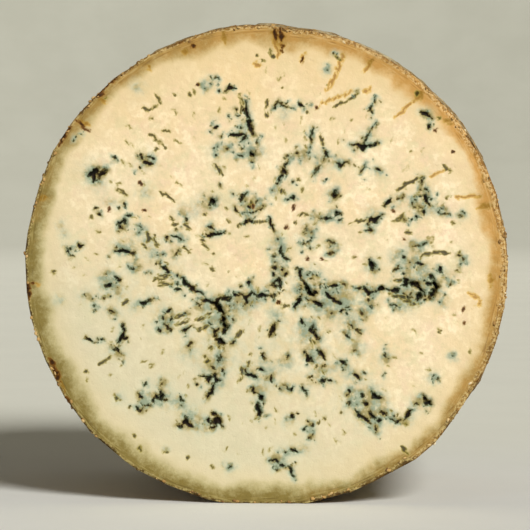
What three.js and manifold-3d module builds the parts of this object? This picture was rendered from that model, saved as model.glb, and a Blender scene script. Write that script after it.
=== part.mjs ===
// Half a drum of blue Stilton, cut across and lying on its curved side. Millimetres, +Z up.
// The cut face looks along -Y. The origin is on the ground, under the middle of the piece.
import * as THREE from "three";
import { ImprovedNoise } from "three/addons/math/ImprovedNoise.js";
import { mergeVertices } from "three/addons/utils/BufferGeometryUtils.js";
import Module from "manifold-3d";

// Driving dimensions
const drumDiameter = 200;
const pieceLength = 125; // from the cut face to the drum's natural end
const restDepth = 1.2; // how far the cheese's own weight has flattened its underside
const endTaper = 2; // how much smaller the radius is at the natural end
const shoulderRadius = 13; // rounded edge of the natural end
const facetSize = 6.3; // distance between neighbouring points of the surface
const shoulderSteps = 3; // rings of points round that edge
const groundDepth = 20; // thickness of what is cut away to flatten the underside

// The dry rind: lumps, crags and wrinkles, each with its width and height
const rindBumps = [
  { size: 41, height: 0.6 },
  { size: 15, height: 1.3 },
  { size: 8, height: 1.1 },
];

// The knife left the cut face almost flat
const faceBumps = [
  { size: 45, height: 0.5 },
  { size: 16, height: 0.3 },
];

// Open clefts of the blue veins. Each path is [right, up] from the middle of the cut face,
// and the width and depth are those of its widest place.
const clefts = [
  { name: "left fissure", path: [[-27, -14.5], [-21.5, -16], [-18, -20.5], [-17.2, -27]], width: 3.4, depth: 5 },
  { name: "under the left curd", path: [[-23.5, -27.5], [-21.5, -31.5], [-17.3, -33]], width: 2.4, depth: 3.5 },
  { name: "ridge of the heart", path: [[-13.5, -12.3], [-8.5, -14.5], [-5.5, -12.4], [2.5, -12.8]], width: 1.8, depth: 3 },
  { name: "foot of the heart", path: [[2, -9], [5.5, -7.6]], width: 2.8, depth: 3 },
  { name: "left string", path: [[-43.8, -1], [-40.5, -3.8], [-34.5, -7.5], [-29, -11]], width: 1.7, depth: 2.5 },
  { name: "left bar", path: [[-63.5, 5.3], [-58.5, 5.6], [-55, 4.3]], width: 1.8, depth: 2.5 },
  { name: "left spur", path: [[-60, -25], [-60.3, -30], [-61.6, -33]], width: 2.2, depth: 3 },
  { name: "centre right cleft", path: [[12.5, -2], [14.8, -6], [17, -11], [19.5, -12.8]], width: 2.4, depth: 4 },
  { name: "centre right foot", path: [[15.2, -12], [13.3, -15.5], [11.3, -18.3]], width: 1.8, depth: 2.5 },
  { name: "curd's lower edge", path: [[25.5, -11.5], [28, -14.4], [31.3, -16]], width: 1.6, depth: 2.5 },
  { name: "right string", path: [[46.5, -10], [50, -9.8], [55, -10.4]], width: 2, depth: 3 },
  { name: "right arc", path: [[59.5, -7.4], [63.2, -9], [64.4, -12], [62.3, -14.8]], width: 3, depth: 5 },
  { name: "right hollow", path: [[67.3, -4], [70.2, -7.5], [70, -11.5], [66, -14.4]], width: 3.6, depth: 6 },
  { name: "right eyebrow", path: [[63.8, 28.4], [66, 28], [66.8, 25.3]], width: 2.2, depth: 3.5 },
  { name: "right chain", path: [[42.5, 16.5], [44, 18.4], [46.5, 19.6], [48.5, 21]], width: 1.9, depth: 2.5 },
  { name: "upright blot", path: [[43, 2.2], [44.2, -2.5]], width: 2.6, depth: 3 },
  { name: "top fissure", path: [[-8.5, 67.5], [-8, 62], [-6, 54]], width: 2, depth: 3.5 },
  { name: "top hook", path: [[-15, 53.3], [-10.5, 54], [-11.5, 51]], width: 1.8, depth: 2.5 },
  { name: "top right slash", path: [[63.5, 63.5], [68.6, 60.2]], width: 2, depth: 3 },
  { name: "upper knot", path: [[-74, 37.2], [-70.5, 37.5], [-66.8, 38.8]], width: 2.8, depth: 3 },
  { name: "upper wedge", path: [[6.3, 39.6], [7.2, 36.5]], width: 2.4, depth: 3 },
  { name: "upper right oval", path: [[28.7, 31], [27.8, 26.8]], width: 2.8, depth: 3.5 },
  { name: "lower stroke", path: [[-6.4, -51.5], [-3.2, -54.5], [-3.4, -60], [-3, -63.6]], width: 2.2, depth: 3 },
  { name: "lower knot", path: [[-23.8, -66], [-20.5, -64.8], [-18.2, -68.2]], width: 2.6, depth: 3.5 },
  { name: "lower left knot", path: [[-46.5, -54.3], [-43.8, -55.8], [-43.8, -52.5]], width: 2.4, depth: 3 },
  { name: "lower left ring", path: [[-24.6, -49.5], [-22.2, -46.6], [-19.6, -48.8]], width: 2, depth: 3 },
  { name: "lower right cup", path: [[37, -60.5], [40, -64], [43.2, -66.4]], width: 1.8, depth: 3 },
  { name: "lower right knot", path: [[42.3, -61.3], [43.6, -63.6], [46.6, -65.8]], width: 2.4, depth: 3 },
  { name: "lower right hook", path: [[47, -62.2], [49.5, -61.8], [53.3, -65.6], [56, -64.3]], width: 1.7, depth: 2.5 },
  { name: "lower right slash", path: [[64.6, -54.6], [68.2, -58.2]], width: 2.6, depth: 3 },
  { name: "bottom stroke", path: [[8.7, -84.3], [11.1, -88.5]], width: 2, depth: 2.5 },
];
const cleftStep = 2.4; // distance between a cleft's sections
const cleftOverhang = 1.5; // how far a cutter stands proud of the cut face
const cleftRaggedness = { size: 3, share: 0.5, layer: 0.5 }; // how a cleft's width wanders along it
const cleftTip = 0.12; // share of its width and depth that a cleft keeps at both ends
const cleftFullness = 0.6; // below 1, it stays wide along most of its length

// Bits broken out of the rim, and flakes of rind left standing on it, by direction in degrees
// counter-clockwise from the right, with their length along the rim and their height
const rimChips = [
  { at: 209, length: 5, height: 2.2 },
  { at: 305, length: 6, height: 1.6 },
  { at: 331, length: 5, height: 1.3 },
  { at: 191, length: 4, height: 1.2 },
  { at: 141, length: 4, height: 1.3 },
  { at: 73, length: 5, height: 1.2 },
  { at: 40, length: 5, height: 1.3 },
  { at: 278, length: 5, height: 1.4 },
];
const rimFlakes = [
  { at: 307.5, length: 5, height: 1.6 },
  { at: 237, length: 3, height: 1.3 },
  { at: 241.5, length: 3, height: 1.2 },
  { at: 186, length: 4, height: 1 },
  { at: 164, length: 3, height: 0.9 },
  { at: 122, length: 4, height: 1 },
  { at: 96, length: 4, height: 1 },
  { at: 55, length: 4, height: 1.1 },
  { at: 17, length: 5, height: 1 },
  { at: 324, length: 4, height: 1.2 },
  { at: 290, length: 4, height: 1.1 },
];
const crumbDepth = 3; // half the size of a chip or flake along the drum
const crumbSetBack = 2.2; // its middle, behind the cut face

const pasteMaterial = new THREE.MeshStandardMaterial({ color: 0xecdcb4, roughness: 0.62, metalness: 0 });

const radius = drumDiameter / 2;
const frontY = -pieceLength / 2;
const noise = new ImprovedNoise();
const wasm = await Module();
wasm.setup();

// Height of a set of bumps at a point.
function relief(bumps, point) {
  return bumps.reduce(
    (sum, { size, height }) => sum + height * noise.noise(point.x / size, point.y / size, point.z / size),
    0,
  );
}

// A ring of points round the drum's axis, pushed out by the bumps. The underside stays level
// while the drum tapers, so each ring's middle sinks by as much as its radius shrinks.
function ring({ count, reach, back, outward, bumps }) {
  const taper = endTaper * (back / pieceLength) ** 2;
  return Array.from({ length: count }, (_, i) => {
    const angle = (2 * Math.PI * i) / count;
    const point = new THREE.Vector3(
      (reach - taper) * Math.cos(angle),
      frontY + back,
      (reach - taper) * Math.sin(angle) - taper,
    );
    const push = relief(bumps, point);
    point.x += push * outward.radial * Math.cos(angle);
    point.y += push * outward.along;
    point.z += push * outward.radial * Math.sin(angle);
    return point;
  });
}

// Rings over a flat end, from its middle to just inside its rim, six more points in each ring.
function endRings(back, reach, outward, bumps) {
  const rings = Math.round(radius / facetSize);
  return Array.from({ length: rings }, (_, k) =>
    ring({ count: Math.max(1, 6 * k), reach: (reach * k) / rings, back, outward, bumps }),
  );
}

// Rings along the curved side, then round the shoulder of the natural end.
function sideRings() {
  const count = 6 * Math.round(radius / facetSize);
  const straight = pieceLength - shoulderRadius;
  const alongSteps = Math.round(straight / facetSize);
  const side = Array.from({ length: alongSteps + 1 }, (_, i) => ({
    back: (straight * i) / alongSteps,
    reach: radius,
    turn: 0,
  }));
  const shoulder = Array.from({ length: shoulderSteps }, (_, i) => {
    const turn = ((Math.PI / 2) * (i + 1)) / shoulderSteps;
    return {
      back: straight + shoulderRadius * Math.sin(turn),
      reach: radius - shoulderRadius * (1 - Math.cos(turn)),
      turn,
    };
  });
  return [...side, ...shoulder].map(({ back, reach, turn }) =>
    ring({ count, reach, back, outward: { radial: Math.cos(turn), along: Math.sin(turn) }, bumps: rindBumps }),
  );
}

// Triangles between two rings, which may have different numbers of points.
function stitch(inner, outer, innerStart, outerStart) {
  const faces = [];
  let i = 0;
  let j = 0;
  while (i < inner.length || j < outer.length) {
    const a = innerStart + (i % inner.length);
    const b = outerStart + (j % outer.length);
    const turnOuter = (j + 1) / outer.length <= (i + 1) / inner.length;
    if (j < outer.length && (turnOuter || i >= inner.length)) {
      faces.push(a, b, outerStart + ((j + 1) % outer.length));
      j += 1;
    } else {
      if (inner.length > 1) faces.push(a, b, innerStart + ((i + 1) % inner.length));
      i += 1;
    }
  }
  return faces;
}

// One closed surface from the middle of the cut face, over the rim and side, to the natural end's middle.
function wholeSurface() {
  const cutFace = endRings(0, radius, { radial: 0, along: 1 }, faceBumps);
  const naturalEnd = endRings(pieceLength, radius - shoulderRadius, { radial: 0, along: 1 }, rindBumps);
  const rings = [...cutFace, ...sideRings(), ...naturalEnd.reverse()];
  const starts = [0];
  rings.forEach((points) => starts.push(starts.at(-1) + points.length));
  const faces = rings.slice(1).flatMap((outer, k) => stitchPair(rings[k], outer, starts[k], starts[k + 1]));
  return new THREE.BufferGeometry().setFromPoints(rings.flat()).setIndex(faces);
}

// The same stitching works towards a middle point once the two rings change places.
function stitchPair(first, second, firstStart, secondStart) {
  if (first.length <= second.length) return stitch(first, second, firstStart, secondStart);
  return turnedOver(stitch(second, first, secondStart, firstStart));
}

function turnedOver(faces) {
  return faces.map((_, i) => faces[i - (i % 3) + [0, 2, 1][i % 3]]);
}

// A closed geometry as a solid that can be cut and joined.
function solid(geometry) {
  const bare = geometry.clone();
  bare.deleteAttribute("normal");
  bare.deleteAttribute("uv");
  const merged = mergeVertices(bare);
  return new wasm.Manifold(
    new wasm.Mesh({
      numProp: 3,
      vertProperties: merged.attributes.position.array,
      triVerts: new Uint32Array(merged.index.array),
    }),
  );
}

// A boat-shaped cutter along a path on the cut face: pointed at both ends, with ragged sides.
function cleftCutter({ path, width, depth }) {
  const curve = new THREE.CatmullRomCurve3(path.map(([x, up]) => new THREE.Vector3(x, 0, up)));
  const steps = Math.max(4, Math.round(curve.getLength() / cleftStep));
  const points = [];
  for (let i = 0; i <= steps; i += 1) {
    const middle = curve.getPointAt(i / steps);
    const ahead = curve.getTangentAt(i / steps);
    const sideways = new THREE.Vector3(-ahead.z, 0, ahead.x);
    const { size, share, layer } = cleftRaggedness;
    const ragged = 1 + share * noise.noise(middle.x / size, middle.z / size, layer);
    const swell = Math.max(cleftTip, Math.sin((Math.PI * i) / steps) ** cleftFullness) * ragged;
    const halfWidth = (width / 2) * swell * (1 + cleftOverhang / depth);
    points.push(
      middle.clone().addScaledVector(sideways, halfWidth).setY(frontY - cleftOverhang),
      middle.clone().addScaledVector(sideways, -halfWidth).setY(frontY - cleftOverhang),
      middle.clone().setY(frontY + depth * swell),
    );
  }
  const faces = [0, 2, 1];
  for (let i = 0; i < steps; i += 1) {
    for (let side = 0; side < 3; side += 1) {
      const a = 3 * i + side;
      const b = 3 * i + ((side + 1) % 3);
      faces.push(a, b, b + 3, a, b + 3, a + 3);
    }
  }
  const last = 3 * steps;
  faces.push(last, last + 1, last + 2);
  return new THREE.BufferGeometry().setFromPoints(points).setIndex(faces);
}

// A rough pebble on the rim of the cut face, used to bite a chip out or to leave a flake on.
function rimPebble({ at, length, height }) {
  const angle = THREE.MathUtils.degToRad(at);
  const rim = new THREE.Vector3(radius * Math.cos(angle), frontY, radius * Math.sin(angle));
  const reach = radius + relief(rindBumps, rim);
  return new THREE.IcosahedronGeometry(1, 0)
    .rotateY(at)
    .scale(height, crumbDepth, length / 2)
    .rotateY(-angle)
    .translate(reach * Math.cos(angle), frontY + crumbSetBack, reach * Math.sin(angle));
}

// Everything below the flattened underside.
function belowGround() {
  return new THREE.BoxGeometry(drumDiameter, 2 * pieceLength, groundDepth).translate(
    0,
    0,
    -radius + restDepth - groundDepth / 2,
  );
}

function joined(geometries) {
  return wasm.Manifold.union(geometries.map(solid));
}

function cheese() {
  const cut = solid(wholeSurface())
    .subtract(joined(rimChips.map(rimPebble)))
    .add(joined(rimFlakes.map(rimPebble)))
    .subtract(joined(clefts.map(cleftCutter)))
    .subtract(solid(belowGround()))
    .getMesh();
  const geometry = new THREE.BufferGeometry()
    .setAttribute("position", new THREE.BufferAttribute(cut.vertProperties, 3))
    .setIndex(new THREE.BufferAttribute(cut.triVerts, 1));
  geometry.computeBoundingBox();
  const middle = geometry.boundingBox.getCenter(new THREE.Vector3());
  geometry.translate(-middle.x, -middle.y, -geometry.boundingBox.min.z);
  const mesh = new THREE.Mesh(geometry, pasteMaterial);
  mesh.name = "cheese";
  return mesh;
}

const halfDrum = new THREE.Group();
halfDrum.add(cheese());

export default halfDrum;
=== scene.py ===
import math
import random

import bpy
import numpy as np
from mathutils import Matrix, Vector, geometry


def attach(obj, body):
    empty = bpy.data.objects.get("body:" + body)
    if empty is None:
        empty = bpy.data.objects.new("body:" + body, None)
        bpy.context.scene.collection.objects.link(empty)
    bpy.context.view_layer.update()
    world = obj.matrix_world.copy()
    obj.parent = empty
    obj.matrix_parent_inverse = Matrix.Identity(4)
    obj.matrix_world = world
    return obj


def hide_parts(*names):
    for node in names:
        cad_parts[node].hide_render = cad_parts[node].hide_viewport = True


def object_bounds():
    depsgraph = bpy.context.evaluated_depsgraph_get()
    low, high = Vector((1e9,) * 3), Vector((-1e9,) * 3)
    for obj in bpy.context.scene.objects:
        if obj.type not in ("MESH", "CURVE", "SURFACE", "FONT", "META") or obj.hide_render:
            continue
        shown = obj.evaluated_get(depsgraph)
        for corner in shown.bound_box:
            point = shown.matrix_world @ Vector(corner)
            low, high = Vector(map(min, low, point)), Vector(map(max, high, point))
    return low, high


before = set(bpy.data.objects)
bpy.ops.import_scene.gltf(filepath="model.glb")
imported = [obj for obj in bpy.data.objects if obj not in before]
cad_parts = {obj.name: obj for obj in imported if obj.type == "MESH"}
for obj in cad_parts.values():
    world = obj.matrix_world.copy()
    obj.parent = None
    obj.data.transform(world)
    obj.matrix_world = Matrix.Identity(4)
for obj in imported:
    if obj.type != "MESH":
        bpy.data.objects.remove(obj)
cadLow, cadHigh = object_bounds()
mm = 0.001

# the half drum: sizes in mm, the rest is worked out from the frame
drum = {
    "node": "cheese",
    "crustProud": 1.1,   # how far the rind's lumps stand out of the plain drum
    "endProud": 0.8,     # how far flakes and lumps stand out of the two flat ends
    "restDepth": 1.2,    # how far the underside is pressed flat
    "endTaper": 2.0,     # how much smaller the radius is at the natural end
    "shoulder": 13.0,    # rounded edge of the natural end
}
drumRadius = (cadHigh.x - cadLow.x) / 2 / mm - drum["crustProud"]
axisHeight = drumRadius - drum["restDepth"]
frontY = cadLow.y / mm + drum["endProud"]
backY = cadHigh.y / mm - drum["endProud"]
drumLength = backY - frontY

# where the photograph was taken from; the first three values are pixels of the 530 pixel wide picture
photo = {
    "width": 530,
    "discRadius": 240.7,
    "discMiddle": (265.8, 266.8),
    "turn": 2.9,         # degrees to the right of the cut face's middle
    "rise": 3.3,         # degrees above it
    "distance": 1.6,     # metres
    "sensor": 36.0,
}


def putInScene(name, data):
    made = bpy.data.objects.new(name, data)
    bpy.context.scene.collection.objects.link(made)
    return made


def makeCamera():
    turn, rise = math.radians(photo["turn"]), math.radians(photo["rise"])
    back = Vector((math.sin(turn) * math.cos(rise), -math.cos(turn) * math.cos(rise), math.sin(rise)))
    mmPerPixel = drumRadius / photo["discRadius"]
    right = Vector((math.cos(turn), math.sin(turn), 0))
    up = back.cross(right)
    middle = photo["width"] / 2
    aim = Vector((0, frontY, axisHeight)) * mm
    aim -= right * (photo["discMiddle"][0] - middle) * mmPerPixel * mm
    aim += up * (photo["discMiddle"][1] - middle) * mmPerPixel * mm
    data = bpy.data.cameras.new("camera")
    data.sensor_width = photo["sensor"]
    data.lens = photo["sensor"] * photo["distance"] / (photo["width"] * mmPerPixel * mm)
    camera = putInScene("camera", data)
    camera.location = aim + back * photo["distance"]
    camera.rotation_euler = (-back).to_track_quat("-Z", "Y").to_euler()
    bpy.context.scene.camera = camera


makeCamera()
print("camera ready")

# the veins of the cut face, in mm right of and above its middle: width, then the points of each stroke,
# or one point for a fleck. Haze gives a soft patch's radius first.
veins = {
    "upper left": {
        "black": [
            (2.2, -74, 37.3, -71.5, 38.8, -70, 36.5), (1.8, -72.6, 39.8, -71.8, 36.5, -72, 34.3),
            (1.8, -70.2, 34.8, -69, 38, -66.3, 39.3), (1.4, -69, 37.2, -67.2, 37.8),
            (1.2, -51, 43, -49, 41.6, -47, 42.5), (1.0, -52.5, 46, -51.5, 44), (1.0, -50, 45, -46.5, 43.8),
        ],
        "green": [(0.9, -80, 53), (0.8, -77.5, 54), (0.8, -64, 45, -61.5, 43), (0.7, -53, 40.3)],
        "olive": [
            (0.8, -49, 54.5, -42, 48.5), (0.7, -46, 70.5, -45, 68, -44.5, 67), (1.3, -62.5, 31.3, -58, 29),
            (0.7, -44.5, 30.2, -38, 26), (0.7, -51, 64.8, -49, 64.3, -46.5, 65.3), (1.0, -67, 69),
            (0.8, -48, 61), (0.7, -38, 70.5), (0.8, -46, 47.8), (1.0, -32, 71),
            (0.6, -43.5, 55.3, -40.5, 55.3),
        ],
        "brown": [
            (1.1, -52.7, 33.5), (1.8, -36.2, 92.6), (1.5, -30.5, 91), (3.2, -69.5, 71),
            (1.6, -68, 73.4, -62, 78.4), (1.6, -86.3, 49.5, -84.5, 53, -82, 57), (0.8, -79.5, 60, -74, 55),
        ],
        "amber": [
            (2.2, -50, 83, -48.5, 81), (1.6, -34, 89, -34, 87), (1.4, -77.5, 60, -74, 57.5), (2.4, -68, 68),
        ],
        "haze": [(5, -50, 44), (3, -53.5, 73.5), (4, -51, 30), (7, -70.5, 37)],
    },
    "left": {
        "black": [
            (1.0, -71, 23.3), (1.5, -69.7, 20.8), (2.0, -62.5, 16.8, -59.8, 18.1, -58.3, 16.8),
            (1.8, -61.5, 16, -60, 15), (1.6, -79, 8.2, -77.8, 7.2, -76.5, 7.8),
            (1.7, -63.5, 5.4, -58.5, 5.6, -55.2, 4.3), (1.3, -43.8, -1, -41.5, -2, -40.3, -4),
            (1.6, -36.5, -6, -34.8, -6.5, -34, -8.3, -30.5, -10.4, -26.5, -12),
            (1.5, -63.5, -5, -61.7, -6.8, -62.8, -7.9), (1.6, -68, -9.6, -66.3, -9.4, -64.5, -7.8),
            (1.6, -53, -16.5, -50, -15.8, -47, -14.5), (1.5, -42, -20.5, -40.4, -19),
            (1.5, -45.2, -27.7, -44.3, -27.4), (1.7, -41.8, -26, -40.3, -27.6),
            (1.5, -35, -28, -31.5, -25.5), (1.7, -60, -25, -59.3, -28, -60.5, -30.5, -61.8, -33),
            (1.2, -60.3, -31.3, -57.5, -30.5), (1.0, -38.5, -10.2, -36, -10.9),
        ],
        "green": [
            (1.3, -84, 7, -82.3, 6, -81, 6.5), (1.0, -82.5, 5.8, -82.4, 4.3),
            (1.4, -53.8, 15.6, -51.5, 14.5), (1.0, -53, 13.3), (1.1, -59.7, 26, -59.2, 23.5),
            (1.2, -58.8, 20.2, -56, 20.3), (1.3, -33.9, 19.5, -33.6, 17.5), (1.0, -39, 3, -36.6, 6.2),
            (1.1, -72.4, -14.5), (1.1, -72, -17.3), (1.3, -72, -20, -71.6, -19.3), (0.9, -67.8, -14.3),
            (0.9, -65.5, -13.6), (0.9, -45, 3.6), (0.8, -44.4, 0.8), (0.8, -43.4, 4.3), (1.0, -53.3, -0.8),
            (0.9, -57.5, -0.7, -55.8, -2, -53.3, -2), (1.2, -38, -8, -36, -8.8), (1.1, -37.8, -4.4),
            (1.5, -44, -22, -43, -23.5), (1.4, -39.3, -22, -40.5, -24), (1.2, -42.8, -25.2),
            (1.1, -42.2, 10.2, -41.2, 11.4), (0.9, -40, 12, -37, 11, -34.8, 9.9),
            (1.0, -76, -30.3, -73.5, -32.3, -71, -32.8), (1.2, -69.2, -32.3, -68.4, -31),
            (1.4, -65, -35, -62.5, -36.5, -60.3, -37.8), (1.0, -62.5, -35, -61.5, -36), (1.0, -49.5, -3.8),
            (1.2, -35, -20.6, -32.3, -20.2), (1.0, -66, -19.2, -63, -20.6), (1.0, -76, -13),
        ],
        "olive": [
            (1.2, -50.3, 13, -48.7, 10.8, -49.2, 9.2), (0.9, -46.5, 12), (1.1, -47, 10, -45.2, 7.5),
            (0.9, -51.5, 8, -50, 6.7), (1.0, -40.3, 20.3, -38.8, 17.5), (1.0, -39.3, 16, -36.8, 16.6),
            (0.8, -34, 16.5, -32, 14.5), (1.2, -44.2, -8, -41, -7.7), (1.0, -45, -4.6, -40, -4.9),
            (0.9, -47, -6.5, -41.5, -5.8), (1.5, -38, -25.2, -32.5, -23.2), (1.1, -60.3, -16.9, -58, -15.5),
            (1.3, -38, -22.5, -34, -20.4), (1.3, -29.7, -23.2, -26.2, -22.2),
            (1.3, -28.3, -28, -24.1, -25.4), (1.1, -44.3, -9.4, -39.5, -7.8), (1.3, -89, -3.2),
            (0.9, -69.6, 13.7), (0.4, -70, -41.5, -67.5, -40.3, -65.5, -38.8), (1.3, -75.3, -44.8),
            (0.8, -75.3, -48.5), (0.6, -35, 6.8, -32, 5.3), (0.8, -73, 19.7),
        ],
        "brown": [
            (0.9, -65.7, 23), (0.7, -51, 22.5), (1.0, -98, 25), (2.0, -99.6, -8, -99, -15),
            (1.2, -97.5, -8), (2.2, -90.8, -40, -88.8, -43.5, -86.5, -49), (1.3, -83.5, -56.5),
        ],
        "amber": [(2.2, -96, 27.7, -92, 27.4), (1.6, -96, -8.5), (0.9, -87, -47, -85, -53)],
        "haze": [
            (4, -61, 7), (3, -66, -4.5, -68, -6), (5, -65.5, -8), (3, -52.5, 14.5), (6, -42, -22.5),
            (3, -76, -13), (3, -86.5, -15), (2.2, -86, 16.8), (2.2, -84.5, 12.3), (4, -57, 7.3),
            (3.5, -36, 11.5), (3.5, -35, 22), (3, -55.5, -1.5), (3, -47, 4.5), (3, -55.5, -18),
            (3.5, -64.5, -20), (2, -66.5, 25.8, -64, 25.4), (4, -63, -36), (2.5, -38, 5), (3, -62, -12),
            (4, -49, 9), (3, -60, 15), (3, -82, 5.5),
        ],
    },
    "top": {
        "black": [
            (1.0, -17.5, 72, -15.5, 73.3, -13, 73), (2.0, -8.5, 67.5, -8.2, 62, -7.2, 57.5, -6, 54),
            (1.0, -22, 56.7, -19.8, 57.5), (1.5, -15, 53.3, -11, 54, -9, 53.5, -10, 52, -11.5, 51.2),
            (3.0, -7, 46.8, -5.5, 45.8), (0.9, 13.7, 67.5, 15.2, 66), (1.4, 24, 47, 26, 44.5),
            (1.3, 28.8, 42.5, 31, 41, 33, 43, 34.5, 42), (2.0, 6.3, 39.5, 7.5, 37),
            (1.6, 6.8, 37.5, 5, 35.5, 4.5, 33.5), (1.3, 27.7, 87.5),
        ],
        "green": [
            (1.0, -27, 74.5), (1.0, -25.5, 73.3), (1.0, -23.5, 75), (0.9, -22, 77.3, -20, 77),
            (0.9, -19.5, 72.5), (1.2, -13, 64), (1.0, -12.5, 62, -11.5, 61), (0.9, -16, 61.5),
            (0.9, -23.5, 55, -22.8, 54.3), (0.9, -19, 53.2), (0.9, -3.7, 52, -3.7, 50), (1.0, -22, 48.3),
            (1.0, -20.5, 49), (1.0, -21.3, 45.8), (1.2, -16.5, 48.5, -15.6, 47.5), (0.9, -10.5, 48),
            (0.9, -12, 45.5, -10, 45), (1.0, -6.3, 42.8), (0.9, 2.5, 64.3, 5.3, 68, 7.5, 65.8, 11.5, 64.5),
            (0.9, 18, 66.3), (1.1, 19, 57.5, 18.7, 53, 18.2, 48), (0.9, 8.5, 45.2),
            (0.8, 10.5, 44.5, 7, 40.5), (1.2, 12.5, 46.5), (1.0, 15.5, 46), (1.2, 14.5, 43),
            (1.0, 17.5, 46.5), (1.4, 25.5, 46.5, 22.5, 42), (1.3, 22.3, 41.3, 19, 36.5), (0.9, 25.2, 81.2),
        ],
        "olive": [
            (1.0, -11, 71, -10.5, 69, -10, 66, -11, 63), (1.0, -4, 86.5), (0.9, -1.5, 84.5),
            (1.0, 1, 89, 3, 85.5), (0.7, 0, 69, 0.3, 65), (0.8, 0, 62), (0.9, 16.5, 63.3),
            (0.9, 22, 54, 23.5, 50), (0.8, 6, 73.5), (0.7, 29, 86.5, 30.5, 85), (0.6, -22, 42, -18, 37),
        ],
        "brown": [
            (0.9, 20.7, 65.3), (0.9, -29, 74.5), (1.0, 3.2, 98, 3.8, 93), (1.5, 5.8, 98, 6.2, 93),
            (0.8, 15.2, 86, 14.3, 84), (0.7, 6.8, 91, 6, 88),
        ],
        "amber": [
            (2.6, 3.2, 99, 3.6, 95, 4, 91), (2.0, 6.2, 95.5, 6.4, 91, 5.5, 87.5),
            (1.6, 15.5, 87.5, 14.3, 84), (1.0, 31.8, 87, 30, 82, 28, 77, 24.8, 72.5),
            (1.5, -18, 96.5, -17.3, 91.5), (0.5, 22, 66, 29, 69.5, 36, 72), (1.2, -5, 84, -3, 82.5),
            (1.0, 3, 93, 4.5, 86),
        ],
        "haze": [
            (3, -25, 74.5), (4, -21, 47.5), (3, -2.5, 47), (5, -7, 46), (3, 7, 63), (4, 14.5, 45),
            (4, 23, 43), (3, -10, 57), (3, -20, 39.5), (2.5, -15.5, 48), (3, 30, 42), (2.5, 25, 81),
            (3, -7.5, 52),
        ],
    },
    "upper right": {
        "black": [
            (1.0, 44.5, 70, 44.7, 67), (1.1, 43.5, 66, 42.7, 64.5, 44, 62.8),
            (1.3, 34.5, 49.7, 38, 49.5, 39.7, 48.3, 43, 49.8, 46.5, 50.3),
            (1.6, 63.7, 63.5, 66, 62.2, 68.5, 60.3), (0.9, 67.5, 58, 67, 56.5), (1.1, 45, 40.2, 47.3, 39.5),
            (2.0, 63.8, 28.4, 65.7, 28.6, 66.8, 25.5), (1.5, 65.2, 22.8, 64.8, 21.5),
            (1.5, 61.8, 19.6, 62.5, 19.9), (1.6, 42.3, 17, 43.5, 18.8, 45, 18, 46.5, 19.8, 48, 20.8),
            (1.3, 49, 24.5, 50.3, 26, 51.3, 27.8),
        ],
        "green": [
            (1.0, 45, 59, 42, 54, 40, 50), (1.0, 41.8, 42.5, 38.5, 37.8), (1.4, 64, 35.3, 64, 33.6),
            (1.1, 65, 31.8, 66.8, 30.3), (1.2, 54.5, 27, 56.5, 28, 57, 29.5), (1.0, 60, 26, 61.5, 24),
            (1.0, 61.5, 27.3, 62.7, 25.5), (1.2, 63, 24.2, 65, 23.3), (1.1, 68.3, 27.5), (1.0, 67.5, 25.3),
            (0.9, 60.8, 19, 60, 18), (1.5, 57.2, 19.6, 57.2, 18.3), (1.2, 42.3, 16.5, 42.5, 15, 44, 13.8),
            (1.3, 71.5, 23.3, 74, 23.5), (1.1, 71, 22, 73, 21.3), (1.2, 73.5, 21.2, 76, 20.8),
            (1.2, 80.3, 20.3), (0.9, 81.8, 21.4), (1.0, 37.8, 71.8),
        ],
        "olive": [
            (1.1, 54, 31, 58, 33.5, 62, 35.8, 65, 36), (1.2, 53, 18, 55, 19, 56.8, 20.8),
            (1.1, 73, 41.5, 74, 39), (0.9, 76, 39), (0.6, 37, 18.5, 41, 18.3), (0.9, 58, 13.6, 59.5, 12.7),
            (1.5, 62.5, 71), (1.2, 71.5, 60.5), (0.6, 27.5, 65, 33, 68, 38, 70.5), (0.7, 74.5, 27),
            (0.6, 76.5, 28.3), (0.7, 77.5, 17.5), (0.9, 80, 5.5),
        ],
        "brown": [(1.3, 53, 22.5), (0.9, 57, 10.5), (0.8, 70.2, 56.2), (0.8, 77, 47.3)],
        "amber": [
            (2.6, 64.5, 71.5, 61.5, 68.5), (0.8, 60.5, 67.5, 57, 64.5, 53.5, 61),
            (1.0, 43.8, 85, 42, 82, 39.8, 79.5), (1.0, 43, 73, 40.5, 71.5), (2.0, 73.5, 60, 76.5, 59),
            (1.6, 87.5, 23.3, 91, 24.5, 95, 24), (0.5, 79, 28, 88, 28.5), (0.6, 68, 37, 73, 38.5),
            (2.6, 90, 38, 92, 33), (2.0, 86.5, 47, 88, 42),
        ],
        "haze": [
            (3, 67, 63), (5, 62.5, 24.5), (3, 54, 27), (3, 43.5, 22), (4, 42.5, 54), (3, 46, 38.5),
            (3, 70, 22.5), (3.5, 65, 32), (3, 43, 15), (2.5, 81, 21), (3, 37, 49.5),
        ],
        "curd": [(1.8, 67, 63.4)],
    },
    "heart": {
        "black": [
            (2.6, -24, 27.3, -22, 26, -21, 27), (1.4, -8.5, 30, -11, 27, -10.7, 26),
            (1.4, -7.7, 23.8, -6.9, 24), (1.4, -9.5, 16.8, -6, 18.5),
            (1.4, -25.5, 11.4, -22.5, 12.4, -18, 13.5), (1.3, -24.5, 16, -22, 14.5),
            (1.4, 1.2, 19.5, 1.5, 16.5, 3.2, 13.8), (1.2, 6, 8, 6, 5, 7, 3, 8.7, 2.3), (1.2, 3.5, -1.5),
            (1.5, 3, -3.6), (1.4, 5.8, -1.8, 6.6, -2.5), (1.5, 7.5, -4), (2.0, 2, -8.7, 4, -6.5, 5.5, -8.3),
            (1.6, 2, -8.8, 5.5, -8.9), (1.3, 3, -12.3), (1.0, 2.2, -13.6), (1.3, -14, -12, -11.5, -13.6),
            (1.4, -12, -11.8, -8.5, -14.5, -6, -12, -3.5, -13.5, -2, -12.4, 2.5, -13),
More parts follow.
